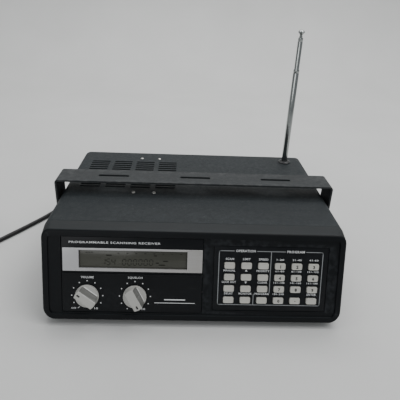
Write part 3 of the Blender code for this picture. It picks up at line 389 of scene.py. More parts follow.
SILVER = silver_trim()
GLASS = display_glass()
WHITE_INK = printed("white_print", (0.80, 0.81, 0.82))
GREY_INK = printed("grey_print", (0.27, 0.28, 0.29))
KEY_INK = printed("key_print", (0.018, 0.018, 0.017))
POINTER_INK = printed("pointer_black", (0.008, 0.008, 0.008))
SEGMENT_INK = printed("display_segments", (0.017, 0.017, 0.013), 0.5, 0.12)
BOARD = circuit_board()
LEAD = lead_plastic()
SPEAKER = speaker_finish()
CLOTH = speaker_cloth()


# ---------------------------------------------------------------- making pieces
def add_box(bm, size, centre=(0, 0, 0)):
    """One box in a bmesh; gives back its vertices."""
    made = bmesh.ops.create_cube(bm, size=1.0)["verts"]
    bmesh.ops.scale(bm, vec=size, verts=made)
    bmesh.ops.translate(bm, vec=centre, verts=made)
    return made


def along(edges, axis):
    """Those of the edges that run along one axis, 0 to 2."""
    found = []
    for edge in edges:
        run = edge.verts[1].co - edge.verts[0].co
        if abs(run[axis]) > 0.999 * run.length:
            found.append(edge)
    return found


def round_edges(bm, edges, radius, segments=3):
    """Rounds the given edges and gives back the new faces."""
    return bmesh.ops.bevel(
        bm, geom=edges, offset=radius, offset_type="OFFSET", affect="EDGES",
        segments=segments, profile=0.5, material=-1, clamp_overlap=True,
    )


def soft_box(bm, size, centre=(0, 0, 0), radius=0.0005, segments=3, corner=0.0, axis=1):
    """A box with rounded corners along one axis, and all its other edges softened."""
    made = bmesh.new()
    add_box(made, size)
    if corner:
        round_edges(made, along(made.edges, axis), corner, 6)
        rims = [e for e in made.edges if len({round(v.co[axis], 7) for v in e.verts}) == 1]
        round_edges(made, rims, radius, segments)
    else:
        round_edges(made, made.edges[:], radius, segments)
    bmesh.ops.translate(made, vec=centre, verts=made.verts)
    merge(bm, made)


def merge(bm, other):
    """Moves everything from the other bmesh into the first."""
    mesh = bpy.data.meshes.new("merging")
    other.to_mesh(mesh)
    other.free()
    bm.from_mesh(mesh)
    bpy.data.meshes.remove(mesh)


def add_rod(bm, radius, length, centre=(0, 0, 0), axis="Z", sides=32, end_radius=None):
    """One cylinder or cone in a bmesh, along the axis; gives back its vertices."""
    made = bmesh.ops.create_cone(
        bm, cap_ends=True, segments=sides, radius1=radius,
        radius2=radius if end_radius is None else end_radius, depth=length,
    )["verts"]
    turns = {"X": Matrix.Rotation(math.pi / 2, 3, "Y"), "Y": Matrix.Rotation(-math.pi / 2, 3, "X")}
    if axis in turns:
        bmesh.ops.rotate(bm, matrix=turns[axis], verts=made)
    bmesh.ops.translate(bm, vec=centre, verts=made)
    return made


def turn(bm, profile, steps=48):
    """A shape turned about Z from (radius, height) points; points on the axis close its ends."""
    made = bmesh.new()
    points = [made.verts.new((radius, 0, height)) for radius, height in profile]
    edges = [made.edges.new(pair) for pair in zip(points, points[1:])]
    bmesh.ops.spin(
        made, geom=points + edges, cent=(0, 0, 0), axis=(0, 0, 1), angle=2 * math.pi,
        steps=steps, use_merge=True,
    )
    bmesh.ops.remove_doubles(made, verts=made.verts, dist=1e-6)
    bmesh.ops.recalc_face_normals(made, faces=made.faces)
    merge(bm, made)


def carve(bm, cutter, operation="DIFFERENCE"):
    """The bmesh with the cutter taken from it, or joined to it."""
    holders = []
    for source in (bm, cutter):
        bmesh.ops.recalc_face_normals(source, faces=source.faces)
        mesh = bpy.data.meshes.new("carving")
        source.to_mesh(mesh)
        source.free()
        holder = bpy.data.objects.new("carving", mesh)
        bpy.context.scene.collection.objects.link(holder)
        holders.append(holder)
    boolean = holders[0].modifiers.new("carve", "BOOLEAN")
    boolean.operation = operation
    boolean.solver = "EXACT"
    boolean.object = holders[1]
    bpy.context.view_layer.update()
    result = bpy.data.meshes.new_from_object(holders[0].evaluated_get(bpy.context.evaluated_depsgraph_get()))
    made = bmesh.new()
    made.from_mesh(result)
    bmesh.ops.remove_doubles(made, verts=made.verts, dist=1e-6)
    for holder in holders:
        mesh = holder.data
        bpy.data.objects.remove(holder)
        bpy.data.meshes.remove(mesh)
    return made


def slice_off(bm, place, outward):
    """Cuts away what lies outward of a plane, and closes the cut."""
    bmesh.ops.bisect_plane(
        bm, geom=bm.verts[:] + bm.edges[:] + bm.faces[:], plane_co=place, plane_no=outward, clear_outer=True,
    )
    bmesh.ops.holes_fill(bm, edges=[e for e in bm.edges if e.is_boundary])


def thicken(bm, thickness):
    """A sheet given its wall, inwards from its outer side."""
    bmesh.ops.recalc_face_normals(bm, faces=bm.faces)
    mesh = bpy.data.meshes.new("sheet")
    bm.to_mesh(mesh)
    bm.free()
    holder = bpy.data.objects.new("sheet", mesh)
    bpy.context.scene.collection.objects.link(holder)
    wall = holder.modifiers.new("wall", "SOLIDIFY")
    wall.thickness = thickness
    wall.offset = -1
    wall.use_even_offset = True
    bpy.context.view_layer.update()
    result = bpy.data.meshes.new_from_object(holder.evaluated_get(bpy.context.evaluated_depsgraph_get()))
    made = bmesh.new()
    made.from_mesh(result)
    bpy.data.objects.remove(holder)
    bpy.data.meshes.remove(mesh)
    return made


def piece(name, bm, finish, body="receiver", replaces=(), place=None, soften=0.0, angle=40):
    """A finished piece in its place: smooth where it is round, riding on its body, standing for its nodes."""
    if place is not None:
        bmesh.ops.transform(bm, matrix=place, verts=bm.verts)
    bmesh.ops.recalc_face_normals(bm, faces=bm.faces)
    mesh = bpy.data.meshes.new(name)
    bm.to_mesh(mesh)
    bm.free()
    mesh.materials.append(finish)
    mesh.shade_smooth()
    mesh.set_sharp_from_angle(angle=math.radians(angle))
    made = bpy.data.objects.new(name, mesh)
    bpy.context.scene.collection.objects.link(made)
    if soften:
        bevel = made.modifiers.new("soften", "BEVEL")
        bevel.width = soften
        bevel.segments = 2
        bevel.limit_method = "ANGLE"
        bevel.angle_limit = math.radians(35)
        bevel.harden_normals = False
    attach(made, body)
    if replaces:
        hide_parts(*([replaces] if isinstance(replaces, str) else replaces))
    return made


def screw_head(bm, centre, radius, height, facing, slot_turn=0.0):
    """A pan-head screw with a cross recess; its head stands out along facing."""
    head = bmesh.new()
    turn(head, [
        (0, height), (radius * 0.45, height * 0.96), (radius * 0.8, height * 0.72),
        (radius, height * 0.25), (radius, 0), (0, 0),
    ], 20)
    for quarter in (0, 1):
        arm = bmesh.new()
        add_box(arm, (radius * 1.1, radius * 0.26, height), (0, 0, height))
        spin = Matrix.Rotation(slot_turn + quarter * math.pi / 2, 3, "Z")
        bmesh.ops.rotate(arm, cent=(0, 0, 0), matrix=spin, verts=arm.verts)
        head = carve(head, arm)
    aim = Vector(facing).to_track_quat("Z", "Y").to_matrix().to_4x4()
    bmesh.ops.transform(head, matrix=Matrix.Translation(centre) @ aim, verts=head.verts)
    merge(bm, head)


# ---------------------------------------------------------------- mains lead
LEAD_DIAMETER = 0.005
TIE = 0.0005
LEAD_ROUTE = (
    (-0.0980, 0.1293, 0.0240),
    (-0.0980, 0.1430, 0.0225),
    (-0.1010, 0.1560, 0.0160),
    (-0.1090, 0.1665, 0.0075),
    (-0.1220, 0.1710, 0.0030),
    (-0.1370, 0.1680, 0.0027),
    (-0.1510, 0.1560, 0.0027),
    (-0.1625, 0.1380, 0.0027),
    (-0.1725, 0.1160, 0.0027),
    (-0.1840, 0.0885, 0.0027),
    (-0.2030, 0.0560, 0.0027),
    (-0.2220, 0.0265, 0.0027),
    (-0.2409, -0.0032, 0.0027),
)
rear_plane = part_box("rear_panel")[1].y
coil_low, coil_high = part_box("cord_coil")
coil_middle = middle(coil_low, coil_high)
TURN_RADII = (0.0325, 0.0275, 0.0225)
LAYER_HEIGHTS = tuple(TIE + LEAD_DIAMETER * (0.5 + 1.01 * layer) for layer in range(3))
STEPS_PER_TURN = 36
CROSSING = 0.16  # the share of a turn in which the lead steps over to the next one
ENTRY_OUT = 0.0058  # how far outside the ring the first turn starts
ENTRY_SHARE = 0.22  # and the share of it in which it closes in


def smooth_through(points, steps):
    """Points along a smooth curve through the given ones."""
    points = [Vector(p) for p in points]
    ends = [2 * points[0] - points[1], *points, 2 * points[-1] - points[-2]]
    fine = []
    for a, b, c, d in zip(ends, ends[1:], ends[2:], ends[3:]):
        for step in range(steps):
            t = step / steps
            bend = (2 * a - 5 * b + 4 * c - d) * t**2 + (3 * b - a - 3 * c + d) * t**3
            fine.append(0.5 * (2 * b + (c - a) * t + bend))
    return [*fine, points[-1]]


def ease(value):
    """A smooth step from 0 to 1."""
    value = min(1.0, max(0.0, value))
    return value * value * (3 - 2 * value)


def coil_path(start_angle, end_angle):
    """Eight turns and a part of a ninth: in along the bottom layer, out over it, and in again on top."""
    order = [0, 1, 2, 2, 1, 0, 0, 1, 2]
    last = len(order) - 1
    turns = last + ((start_angle - end_angle) / (2 * math.pi)) % 1.0
    count = round(turns * STEPS_PER_TURN)
    path = []
    for step in range(count + 1):
        done = turns * step / count
        number = min(int(done), last)
        change = ease((done - number - 1 + CROSSING) / CROSSING)
        following = min(number + 1, last)
        radius = TURN_RADII[order[number]] * (1 - change) + TURN_RADII[order[following]] * change
        layer, next_layer = number // 3, following // 3
        height = LAYER_HEIGHTS[layer] * (1 - change) + LAYER_HEIGHTS[next_layer] * change
        if number == 0:
            start_radius = TURN_RADII[0] + ENTRY_OUT
            radius = start_radius + (TURN_RADII[0] - start_radius) * ease(done / ENTRY_SHARE)
            radius += (TURN_RADII[1] - TURN_RADII[0]) * change
        angle = start_angle - 2 * math.pi * done
        path.append(Vector((
            coil_middle.x + radius * math.cos(angle), coil_middle.y + radius * math.sin(angle), height,
        )))
    return path


plug_low, plug_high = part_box("mains_plug")
PLUG_LENGTH = 0.030
BLADE_LENGTH = 0.016
NECK_LENGTH = 0.012
plug_axis = middle(plug_low, plug_high)
plug_back_y = plug_low.y

entry = Vector(LEAD_ROUTE[-1])
entry_angle = math.atan2(entry.y - coil_middle.y, entry.x - coil_middle.x)
coil_end_angle = math.pi + math.radians(100)
route = smooth_through([(LEAD_ROUTE[0][0], rear_plane + 0.001, LEAD_ROUTE[0][2]), *LEAD_ROUTE], 4)
coil = coil_path(entry_angle, coil_end_angle)
top_radius = TURN_RADII[2]
rise = []
for degrees, lift, outward in ((72, 0.25, 0.0004), (46, 0.58, 0.0010), (22, 0.88, 0.0008)):
    angle = math.pi + math.radians(degrees)
    reach = top_radius + outward
    rise.append(Vector((
        coil_middle.x + reach * math.cos(angle), coil_middle.y + reach * math.sin(angle),
        LAYER_HEIGHTS[2] + (plug_axis.z - LAYER_HEIGHTS[2]) * lift,
    )))
rise.append(Vector((plug_axis.x, plug_back_y + 0.001, plug_axis.z)))
rise.append(Vector((plug_axis.x, plug_back_y + 0.006, plug_axis.z)))
rise = smooth_through([coil[-1], *rise], 6)[1:]
lead_path = [*route[:-1], *coil, *rise]

lead_curve = bpy.data.curves.new("mains_lead", "CURVE")
lead_curve.dimensions = "3D"
LEAD_SLACK = 0.00003
lead_curve.bevel_depth = LEAD_DIAMETER / 2 - LEAD_SLACK
lead_curve.bevel_resolution = 4
lead_curve.use_fill_caps = True
line = lead_curve.splines.new("POLY")
line.points.add(len(lead_path) - 1)
for point, where in zip(line.points, lead_path):
    point.co = (*where, 1.0)
line.use_smooth = True
lead_curve.materials.append(LEAD)
lead = bpy.data.objects.new("mains_lead", lead_curve)
bpy.context.scene.collection.objects.link(lead)
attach(lead, "receiver")
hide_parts("power_cord", "cord_coil")

relief_low, relief_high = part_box("strain_relief")
relief = bmesh.new()
relief_length = relief_high.y - rear_plane
collar_radius = (relief_high.x - relief_low.x) / 2
profile = [(0, relief_length), (0.0029, relief_length), (0.0036, relief_length - 0.0006)]
RIBS = 7
RIB_PITCH = (relief_length - 0.0070) / RIBS
RIB_TIP_RADIUS, RIB_ROOT_RADIUS, RIB_GROOVE = 0.0037, 0.0050, 0.0006
for rib in range(RIBS):
    top = relief_length - 0.0012 - rib * RIB_PITCH
    outer = RIB_TIP_RADIUS + (RIB_ROOT_RADIUS - RIB_TIP_RADIUS) * rib / RIBS
    profile += [
        (outer, top), (outer + 0.0001, top - RIB_PITCH * 0.55),
        (outer - RIB_GROOVE, top - RIB_PITCH * 0.65), (outer - RIB_GROOVE, top - RIB_PITCH * 0.95),
    ]
profile += [(0.0052, 0.0052), (0.0052, 0.0034), (collar_radius, 0.0030), (collar_radius, 0.0004), (0, 0.0004)]
turn(relief, profile, 32)
lead_exit = (LEAD_ROUTE[0][0], rear_plane, LEAD_ROUTE[0][2])
strain_relief = piece(
    "strain_relief_sleeve", relief, LEAD, replaces="strain_relief",
    place=Matrix.Translation(lead_exit) @ TO_BACK,
)

plug = bmesh.new()
soft_box(plug, (0.022, PLUG_LENGTH, 0.014), (0, 0, 0), 0.0012, 4, 0.0045, 1)
nose = [v for v in plug.verts if v.co.y > PLUG_LENGTH / 2 - 0.004]
bmesh.ops.scale(plug, vec=(0.94, 1, 0.92), verts=nose)
ribs = bmesh.new()
for number in range(5):
    for side in (-1, 1):
        add_box(ribs, (0.0016, 0.0011, 0.009), (side * 0.0110, -0.009 + number * 0.0030, 0))
plug = carve(plug, ribs)
neck = bmesh.new()
NECK_RADIUS, NECK_RINGS, NECK_SINK = 0.0044, 4, 0.002
neck_profile = [(0, NECK_SINK), (NECK_RADIUS, NECK_SINK)]
for number in range(NECK_RINGS):
    top = -number * NECK_LENGTH / NECK_RINGS
    radius = NECK_RADIUS - number * 0.0003
    neck_profile += [
        (radius, top), (radius, top - 0.0017),
        (radius - 0.0006, top - 0.0020), (radius - 0.0006, top - 0.0028),
    ]
neck_profile += [(0.0029, -NECK_LENGTH), (0, -NECK_LENGTH)]
turn(neck, neck_profile, 28)
bmesh.ops.transform(neck, matrix=Matrix.Translation((0, -PLUG_LENGTH / 2, 0)) @ TO_BACK, verts=neck.verts)
plug = carve(plug, neck, "UNION")
plug_centre = Vector((plug_axis.x, plug_back_y + NECK_LENGTH + PLUG_LENGTH / 2, plug_axis.z))
mains_plug = piece(
    "mains_plug_body", plug, LEAD, replaces="mains_plug",
    place=Matrix.Translation(plug_centre), angle=35,
)
BLADE_ACROSS = 0.00635  # each blade from the plug's middle
BLADE_SUNK = 0.002
blades = bmesh.new()
for side in (-1, 1):
    blade = bmesh.new()
    add_box(blade, (0.0015, BLADE_LENGTH + BLADE_SUNK, 0.0063))
    tip = [e for e in along(blade.edges, 0) if e.verts[0].co.y > 0]
    round_edges(blade, tip, 0.0022, 5)
    hole = bmesh.new()
    add_rod(hole, 0.0016, 0.004, (0, BLADE_LENGTH / 2 - 0.0035, 0), "X", 20)
    blade = carve(blade, hole)
    out_of_plug = PLUG_LENGTH / 2 + BLADE_LENGTH / 2 - BLADE_SUNK / 2
    bmesh.ops.translate(blade, vec=(side * BLADE_ACROSS, out_of_plug, 0), verts=blade.verts)
    merge(blades, blade)
plug_blades = piece(
    "plug_blades", blades, NICKEL, place=Matrix.Translation(plug_centre), soften=0.0002,
)

tie_top = coil_high.z - 0.0001
ring_inner = TURN_RADII[2] - LEAD_DIAMETER / 2
ring_outer = TURN_RADII[0] + LEAD_DIAMETER / 2
section = bmesh.new()
soft_box(
    section, (ring_outer - ring_inner + 2 * TIE, 0.006, tie_top - 0.0001),
    ((ring_outer + ring_inner) / 2, 0, tie_top / 2), 0.0018, 4, 0.0024, 1,
)
bore = bmesh.new()
add_box(
    bore, (ring_outer - ring_inner + 0.0002, 0.02, tie_top - 2 * TIE),
    ((ring_outer + ring_inner) / 2, 0, tie_top / 2),
)
round_edges(bore, along(bore.edges, 1), 0.0020, 4)
tie = carve(section, bore)
lead_tie = piece(
    "lead_tie", tie, HARD_BLACK,
    place=Matrix.Translation((coil_middle.x, coil_middle.y, 0)) @ Matrix.Rotation(math.radians(20), 4, "Z"),
)

# ---------------------------------------------------------------- cover, pan and rear panel
VENT_COLUMNS = (-0.109, -0.083, -0.057, -0.031)
VENT_ROWS = 13
VENT_ROW_PITCH = 0.00585
VENT_SIZE = (0.021, 0.003)
VENT_BACK = 0.1597
shell_front = FACE_Y + BEZEL_DEPTH + GAP


def lean_back(bm, only=None):
    """Slants vertices with the face: what is lower stands further forward."""
    for vertex in bm.verts:
        if only is None or only(vertex):
            vertex.co.y += (vertex.co.z - CASE_TOP) * math.tan(FACE_LEAN)


def folded_sheet(bottom, top, rounded_at_top):
    """One folded sheet, open at its ends and at one long side, with smooth bends."""
    bm = bmesh.new()
    size = (2 * CASE_HALF, BACK_Y - shell_front, top - bottom)
    add_box(bm, size, (0, (shell_front + BACK_Y) / 2, (bottom + top) / 2))
    closed_side = top if rounded_at_top else bottom
    folds = [e for e in along(bm.edges, 1) if all(abs(v.co.z - closed_side) < 1e-6 for v in e.verts)]
    round_edges(bm, folds, EDGE_RADIUS, 12)
    open_side = -1 if rounded_at_top else 1
    bmesh.ops.recalc_face_normals(bm, faces=bm.faces)
    removed = [f for f in bm.faces if abs(f.normal.y) > 0.9 or f.normal.z * open_side > 0.9]
    bmesh.ops.delete(bm, geom=removed, context="FACES")
    lean_back(bm, lambda v: v.co.y < shell_front + 1e-6)
    return thicken(bm, SHEET)


cover = folded_sheet(cover_low.z, CASE_TOP, True)
vents = bmesh.new()
for column in VENT_COLUMNS:
    for row in range(VENT_ROWS):
        vent = bmesh.new()
        add_box(vent, (*VENT_SIZE, 4 * SHEET), (column, FACE_Y + VENT_BACK - row * VENT_ROW_PITCH, CASE_TOP))
        round_edges(vent, along(vent.edges, 2), VENT_SIZE[1] * 0.45, 3)
        merge(vents, vent)
cover = carve(cover, vents)
piece("cover", cover, COVER_PAINT, replaces="top_cover", soften=0.00022, angle=30)

pan = folded_sheet(CASE_BOTTOM, pan_high.z, False)
piece("pan", pan, COVER_PAINT, replaces="base_pan", soften=0.0002, angle=30)

cloth = bmesh.new()
add_box(
    cloth, (0.104, 0.082, 0.0002),
    (-0.070, FACE_Y + VENT_BACK - 6 * VENT_ROW_PITCH, CASE_TOP - SHEET - 0.0002),
)
piece("speaker_cloth", cloth, CLOTH)

# the screws that hold the speaker: across, back from the face, and the turn of each cross
SPEAKER_SCREWS = (
    (-0.0625, 0.1713, 0.3), (-0.0415, 0.1713, 1.1), (-0.0625, 0.0765, 0.7), (-0.0419, 0.0766, 0.1),
)
HEAD_SUNK = 0.00005
speaker_screws = bmesh.new()
for screw_x, screw_y, spin in SPEAKER_SCREWS:
    place = (screw_x, FACE_Y + screw_y, CASE_TOP - HEAD_SUNK)
    screw_head(speaker_screws, place, 0.0019, 0.0011, (0, 0, 1), spin)
piece("speaker_screws", speaker_screws, NICKEL)

# the cover's screws along both sides, near the seam
SIDE_SCREW_SUNK = 0.0012
SIDE_SCREW_RISE = 0.007
side_screws = bmesh.new()
for side in (-1, 1):
    for screw_y in (FACE_Y + 0.030, BACK_Y - 0.022):
        place = (side * (CASE_HALF - SIDE_SCREW_SUNK), screw_y, cover_low.z + SIDE_SCREW_RISE)
        screw_head(side_screws, place, 0.0033, 0.0018, (side, 0, 0), 0.4 + screw_y)
piece("side_screws", side_screws, HARD_BLACK)

rear_low, rear_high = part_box("rear_panel")
rear = bmesh.new()
soft_box(
    rear, (rear_high.x - rear_low.x, rear_high.y - rear_low.y, rear_high.z - rear_low.z),
    middle(rear_low, rear_high), 0.0003, 2, EDGE_RADIUS - SHEET, 1,
)
rear_cuts = bmesh.new()
REAR_HOLE = 0.0049
sockets = {}
for name in ("aerial_jack", "dc_jack"):
    low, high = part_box(name)
    sockets[name] = (middle(low, high).x, middle(low, high).z, high.y)
for hole_x, hole_z in [(lead_exit[0], lead_exit[2]), *[place[:2] for place in sockets.values()]]:
    add_rod(rear_cuts, REAR_HOLE, 0.01, (hole_x, rear_plane, hole_z), "Y", 28)
rear = carve(rear, rear_cuts)
piece("rear_plate", rear, REAR_PAINT, replaces="rear_panel", soften=0.0002)

REAR_SCREWS = (
    (-0.122, 0.074), (0.122, 0.074), (-0.122, 0.020), (0.122, 0.020), (0.0, 0.074), (-0.020, 0.020),
)
rear_screws = bmesh.new()
for screw_x, screw_z in REAR_SCREWS:
    screw_head(rear_screws, (screw_x, rear_plane, screw_z), 0.0030, 0.0017, (0, 1, 0), screw_x * 20)
piece("rear_screws", rear_screws, NICKEL)

# ---------------------------------------------------------------- sockets on the rear panel
THREAD_RADIUS = 0.0043
THREAD_PITCH = 0.0006
for name, (socket_x, socket_z, reach_y) in sockets.items():
    reach = reach_y - rear_plane
    socket = bmesh.new()
    outline = [
        (0, 0.0006), (0.0021, 0.0006), (0.0022, 0.0010), (0.0022, reach - 0.0003), (0.0025, reach),
        (0.0040, reach), (THREAD_RADIUS, reach - 0.0003),
    ]
    height = reach - THREAD_PITCH
    while height > 0.0034:
        outline += [(THREAD_RADIUS, height), (THREAD_RADIUS - THREAD_PITCH / 2, height - THREAD_PITCH / 2)]
        height -= THREAD_PITCH
    outline += [
        (THREAD_RADIUS - 0.0002, 0.0026), (0.0052, 0.0026), (0.0062, 0.0022), (0.0062, 0.0004), (0, 0.0004),
    ]
    turn(socket, outline, 36)
    place = Matrix.Translation((socket_x, rear_plane, socket_z)) @ TO_BACK
    piece(f"{name}_socket", socket, STEEL, replaces=name, place=place, angle=30)
    core = bmesh.new()
    turn(core, [(0, 0.0030), (0.0004, 0.0028), (0.0006, 0.0022), (0.0006, 0.0008), (0, 0.0008)], 16)
    piece(f"{name}_pin", core, NICKEL, place=place)

# ---------------------------------------------------------------- feet
for name in ("foot_front_left", "foot_front_right", "foot_rear_left", "foot_rear_right"):
    low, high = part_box(name)
    centre, radius, height = middle(low, high), (high.x - low.x) / 2, high.z - low.z
    foot = bmesh.new()
    turn(foot, [
        (0, height), (radius - 0.0004, height), (radius, height - 0.0004), (radius * 0.92, 0.0008),
        (radius * 0.88, 0.0001), (radius * 0.84, 0), (radius * 0.40, 0), (radius * 0.36, 0.0003),
        (radius * 0.35, height / 3), (0, height / 3),
    ], 40)
    place = Matrix.Translation((centre.x, centre.y, low.z))
    piece(f"{name}_rubber", foot, RUBBER, replaces=name, place=place)

# ---------------------------------------------------------------- front bezel
RIM_WIDTH = 0.0052
RIM_STEP = 0.0012
FRONT_ROUND = 0.0018
lean_cos = math.cos(FACE_LEAN)
bezel = bmesh.new()
add_box(
    bezel, (2 * CASE_HALF, BEZEL_DEPTH, CASE_HEIGHT),
    (0, FACE_Y + BEZEL_DEPTH / 2, CASE_BOTTOM + CASE_HEIGHT / 2),
)
for level, radius in ((CASE_TOP, EDGE_RADIUS), (CASE_BOTTOM, LOWER_RADIUS)):
    corners = [e for e in along(bezel.edges, 1) if all(abs(v.co.z - level) < 1e-6 for v in e.verts)]
    round_edges(bezel, corners, radius, 12)
front_verts = [v for v in bezel.verts if v.co.y < FACE_Y + 1e-6]
bmesh.ops.scale(bezel, vec=(1 - BEZEL_TAPER / CASE_HALF, 1, 1), verts=front_verts)
front_edges = [e for e in bezel.edges if all(v.co.y < FACE_Y + 1e-6 for v in e.verts)]
round_edges(bezel, front_edges, FRONT_ROUND, 6)
bmesh.ops.recalc_face_normals(bezel, faces=bezel.faces)
front_face = min(bezel.faces, key=lambda f: f.calc_center_median().y)
bmesh.ops.inset_region(bezel, faces=[front_face], thickness=RIM_WIDTH - FRONT_ROUND, use_even_offset=True)
inner = bmesh.ops.extrude_face_region(bezel, geom=[front_face])["geom"]
bmesh.ops.delete(bezel, geom=[front_face], context="FACES_ONLY")
inner_verts = [g for g in inner if isinstance(g, bmesh.types.BMVert)]
bmesh.ops.translate(bezel, vec=(0, RIM_STEP / lean_cos, 0), verts=inner_verts)
bmesh.ops.delete(bezel, geom=[f for f in bezel.faces if f.normal.y > 0.9], context="FACES")
lean_back(bezel)
bezel = thicken(bezel, 0.0020)
openings = bmesh.new()
for left, right, upper, lower in (CONTROL_PANEL, KEYPAD_PANEL):
    window = bmesh.new()
    size = (right - left + 2 * GAP, 0.012, lower - upper + 2 * GAP)
    add_box(window, size, on_face((left + right) / 2, (upper + lower) / 2, 0.001))
    round_edges(window, along(window.edges, 1), 0.0008, 3)
    merge(openings, window)
bmesh.ops.transform(openings, matrix=FACE, verts=openings.verts)
bezel = carve(bezel, openings)
piece("bezel", bezel, BEZEL_PLASTIC, replaces="front_bezel", soften=0.00035, angle=32)

# ---------------------------------------------------------------- panels
LEDGE_DROP = 0.0395


def plate(area, front, thickness, corner=0.0008, soft=0.0003):
    """A thin panel over an area of the face."""
    left, right, upper, lower = area
    bm = bmesh.new()
    soft_box(
        bm, (right - left, thickness, lower - upper),
        on_face((left + right) / 2, (upper + lower) / 2, front + thickness / 2), soft, 2, corner, 1,
    )
    return bm


control = plate(CONTROL_PANEL, PANEL_FRONT, 0.0030)
left, right, upper, lower = WINDOW
well = bmesh.new()
well_size = (right - left + 2 * GAP, 0.02, lower - upper + 2 * GAP)
add_box(well, well_size, on_face((left + right) / 2, (upper + lower) / 2))
for knob_x, _ in KNOBS.values():
    add_rod(well, 0.0045, 0.02, on_face(knob_x, KNOB_DROP), "Y", 28)
control = carve(control, well)
ledge = bmesh.new()
ledge_size = (FRAME[1] - FRAME[0], 0.0022, 0.0009)
soft_box(ledge, ledge_size, on_face((FRAME[0] + FRAME[1]) / 2, LEDGE_DROP, PANEL_FRONT), 0.0003, 3)
control = carve(control, ledge, "UNION")
piece("control_plate", control, PANEL_BLACK, replaces="control_panel", place=FACE)

keypad = plate(KEYPAD_PANEL, PANEL_FRONT, 0.0030)
key_holes = bmesh.new()
key_places = []
for row in range(4):
    for column in range(6):
        across, down = KEY_FIRST[0] + column * KEY_PITCH[0], KEY_FIRST[1] + row * KEY_PITCH[1]
        key_places.append((row, column, across, down))
        hole = bmesh.new()
        add_box(hole, (KEY_SIZE[0] + 2 * GAP, 0.02, KEY_SIZE[1] + 2 * GAP), on_face(across, down))
        round_edges(hole, along(hole.edges, 1), 0.0012, 4)
        merge(key_holes, hole)
keypad = carve(keypad, key_holes)
piece("keypad_plate", keypad, PANEL_BLACK, replaces="keypad_panel", place=FACE)

# ---------------------------------------------------------------- display
TRIM_SHEET = 0.0010
COLLAR_WALL, COLLAR_DEPTH, COLLAR_SET_BACK = 0.0009, 0.0028, 0.0001
left, right, upper, lower = FRAME
trim = bmesh.new()
trim_front = PANEL_FRONT - GAP - TRIM_SHEET
soft_box(
    trim, (right - left, TRIM_SHEET, lower - upper),
    on_face((left + right) / 2, (upper + lower) / 2, trim_front + TRIM_SHEET / 2), 0.00045, 4,
)
collar = bmesh.new()
left, right, upper, lower = WINDOW
collar_middle = trim_front + COLLAR_SET_BACK + COLLAR_DEPTH / 2
soft_box(
    collar, (right - left + 2 * COLLAR_WALL, COLLAR_DEPTH, lower - upper + 2 * COLLAR_WALL),
    on_face((left + right) / 2, (upper + lower) / 2, collar_middle), 0.00025, 2,
)
trim = carve(trim, collar, "UNION")
opening = bmesh.new()
add_box(opening, (right - left, 0.02, lower - upper), on_face((left + right) / 2, (upper + lower) / 2))
trim = carve(trim, opening)
piece(
    "display_trim", trim, SILVER, replaces="display_frame", place=FACE,
    soften=0.00016, angle=30,
)

GLASS_FRONT = 0.0020
GLASS_THICK = 0.0012
glass = bmesh.new()
soft_box(
    glass, (right - left - 2 * GAP, GLASS_THICK, lower - upper - 2 * GAP),
    on_face((left + right) / 2, (upper + lower) / 2, GLASS_FRONT + GLASS_THICK / 2), 0.0001, 2,
)
piece("display_pane", glass, GLASS, replaces="display_window", place=FACE)

SEGMENT_RISE = 0.00006


def bar(bm, centre, length, width, upright):
    """One display segment: a thin bar with pointed ends."""
    size = (width, 2 * SEGMENT_RISE, length) if upright else (length, 2 * SEGMENT_RISE, width)
    made = bmesh.new()
    add_box(made, size)
    round_edges(made, along(made.edges, 1), width * 0.42, 1)
    bmesh.ops.translate(made, vec=centre, verts=made.verts)
    merge(bm, made)


def digit(bm, across, down, height, lit):
    """A seven-segment digit; lit names its segments by the usual letters."""
    width, stroke = height * 0.48, height * 0.11
    half = height / 2 - stroke / 2
    spans = {
        "a": (0, -half, False), "g": (0, 0, False), "d": (0, half, False),
        "f": (-width / 2, -half / 2, True), "b": (width / 2, -half / 2, True),
        "e": (-width / 2, half / 2, True), "c": (width / 2, half / 2, True),
    }
    for letter in lit:
        shift, drop, upright = spans[letter]
        centre = on_face(across + shift + height * 0.04 * (-drop / half), down + drop, GLASS_FRONT)
        bar(bm, centre, (half if upright else width) - stroke * 0.9, stroke, upright)


# the figures left on the display, and the small marks above and beside them
FIGURES = {"1": "bc", "5": "afgcd", "4": "fgbc", "0": "abcdef"}
FIGURE_DROP, FIGURE_HEIGHT = 0.0287, 0.0060
segments = bmesh.new()
for number, figure in enumerate("154"):
    digit(segments, -0.0800 + number * 0.0043, FIGURE_DROP, FIGURE_HEIGHT, FIGURES[figure])
for number in range(6):
    digit(segments, -0.0620 + number * 0.0047, FIGURE_DROP, FIGURE_HEIGHT, FIGURES["0"])
small_marks = [(-0.0945 + 0.0024 * number, 0.0203) for number in range(3)]
small_marks += [(-0.067 + 0.0078 * number, 0.0206) for number in range(8)]
for across, down in small_marks:
    bar(segments, on_face(across, down, GLASS_FRONT), 0.0019, 0.0006, False)
for across, down, length in (
    (-0.0752, 0.0226, 0.0050), (-0.0348, 0.0224, 0.0030), (-0.0260, 0.0272, 0.0046),
    (-0.0330, 0.0290, 0.0030), (-0.0290, 0.0308, 0.0060),
):
    bar(segments, on_face(across, down, GLASS_FRONT), length, 0.0010, False)
piece("display_segments", segments, SEGMENT_INK, place=FACE)


# ---------------------------------------------------------------- lettering
PRINT_RISE = 0.00004


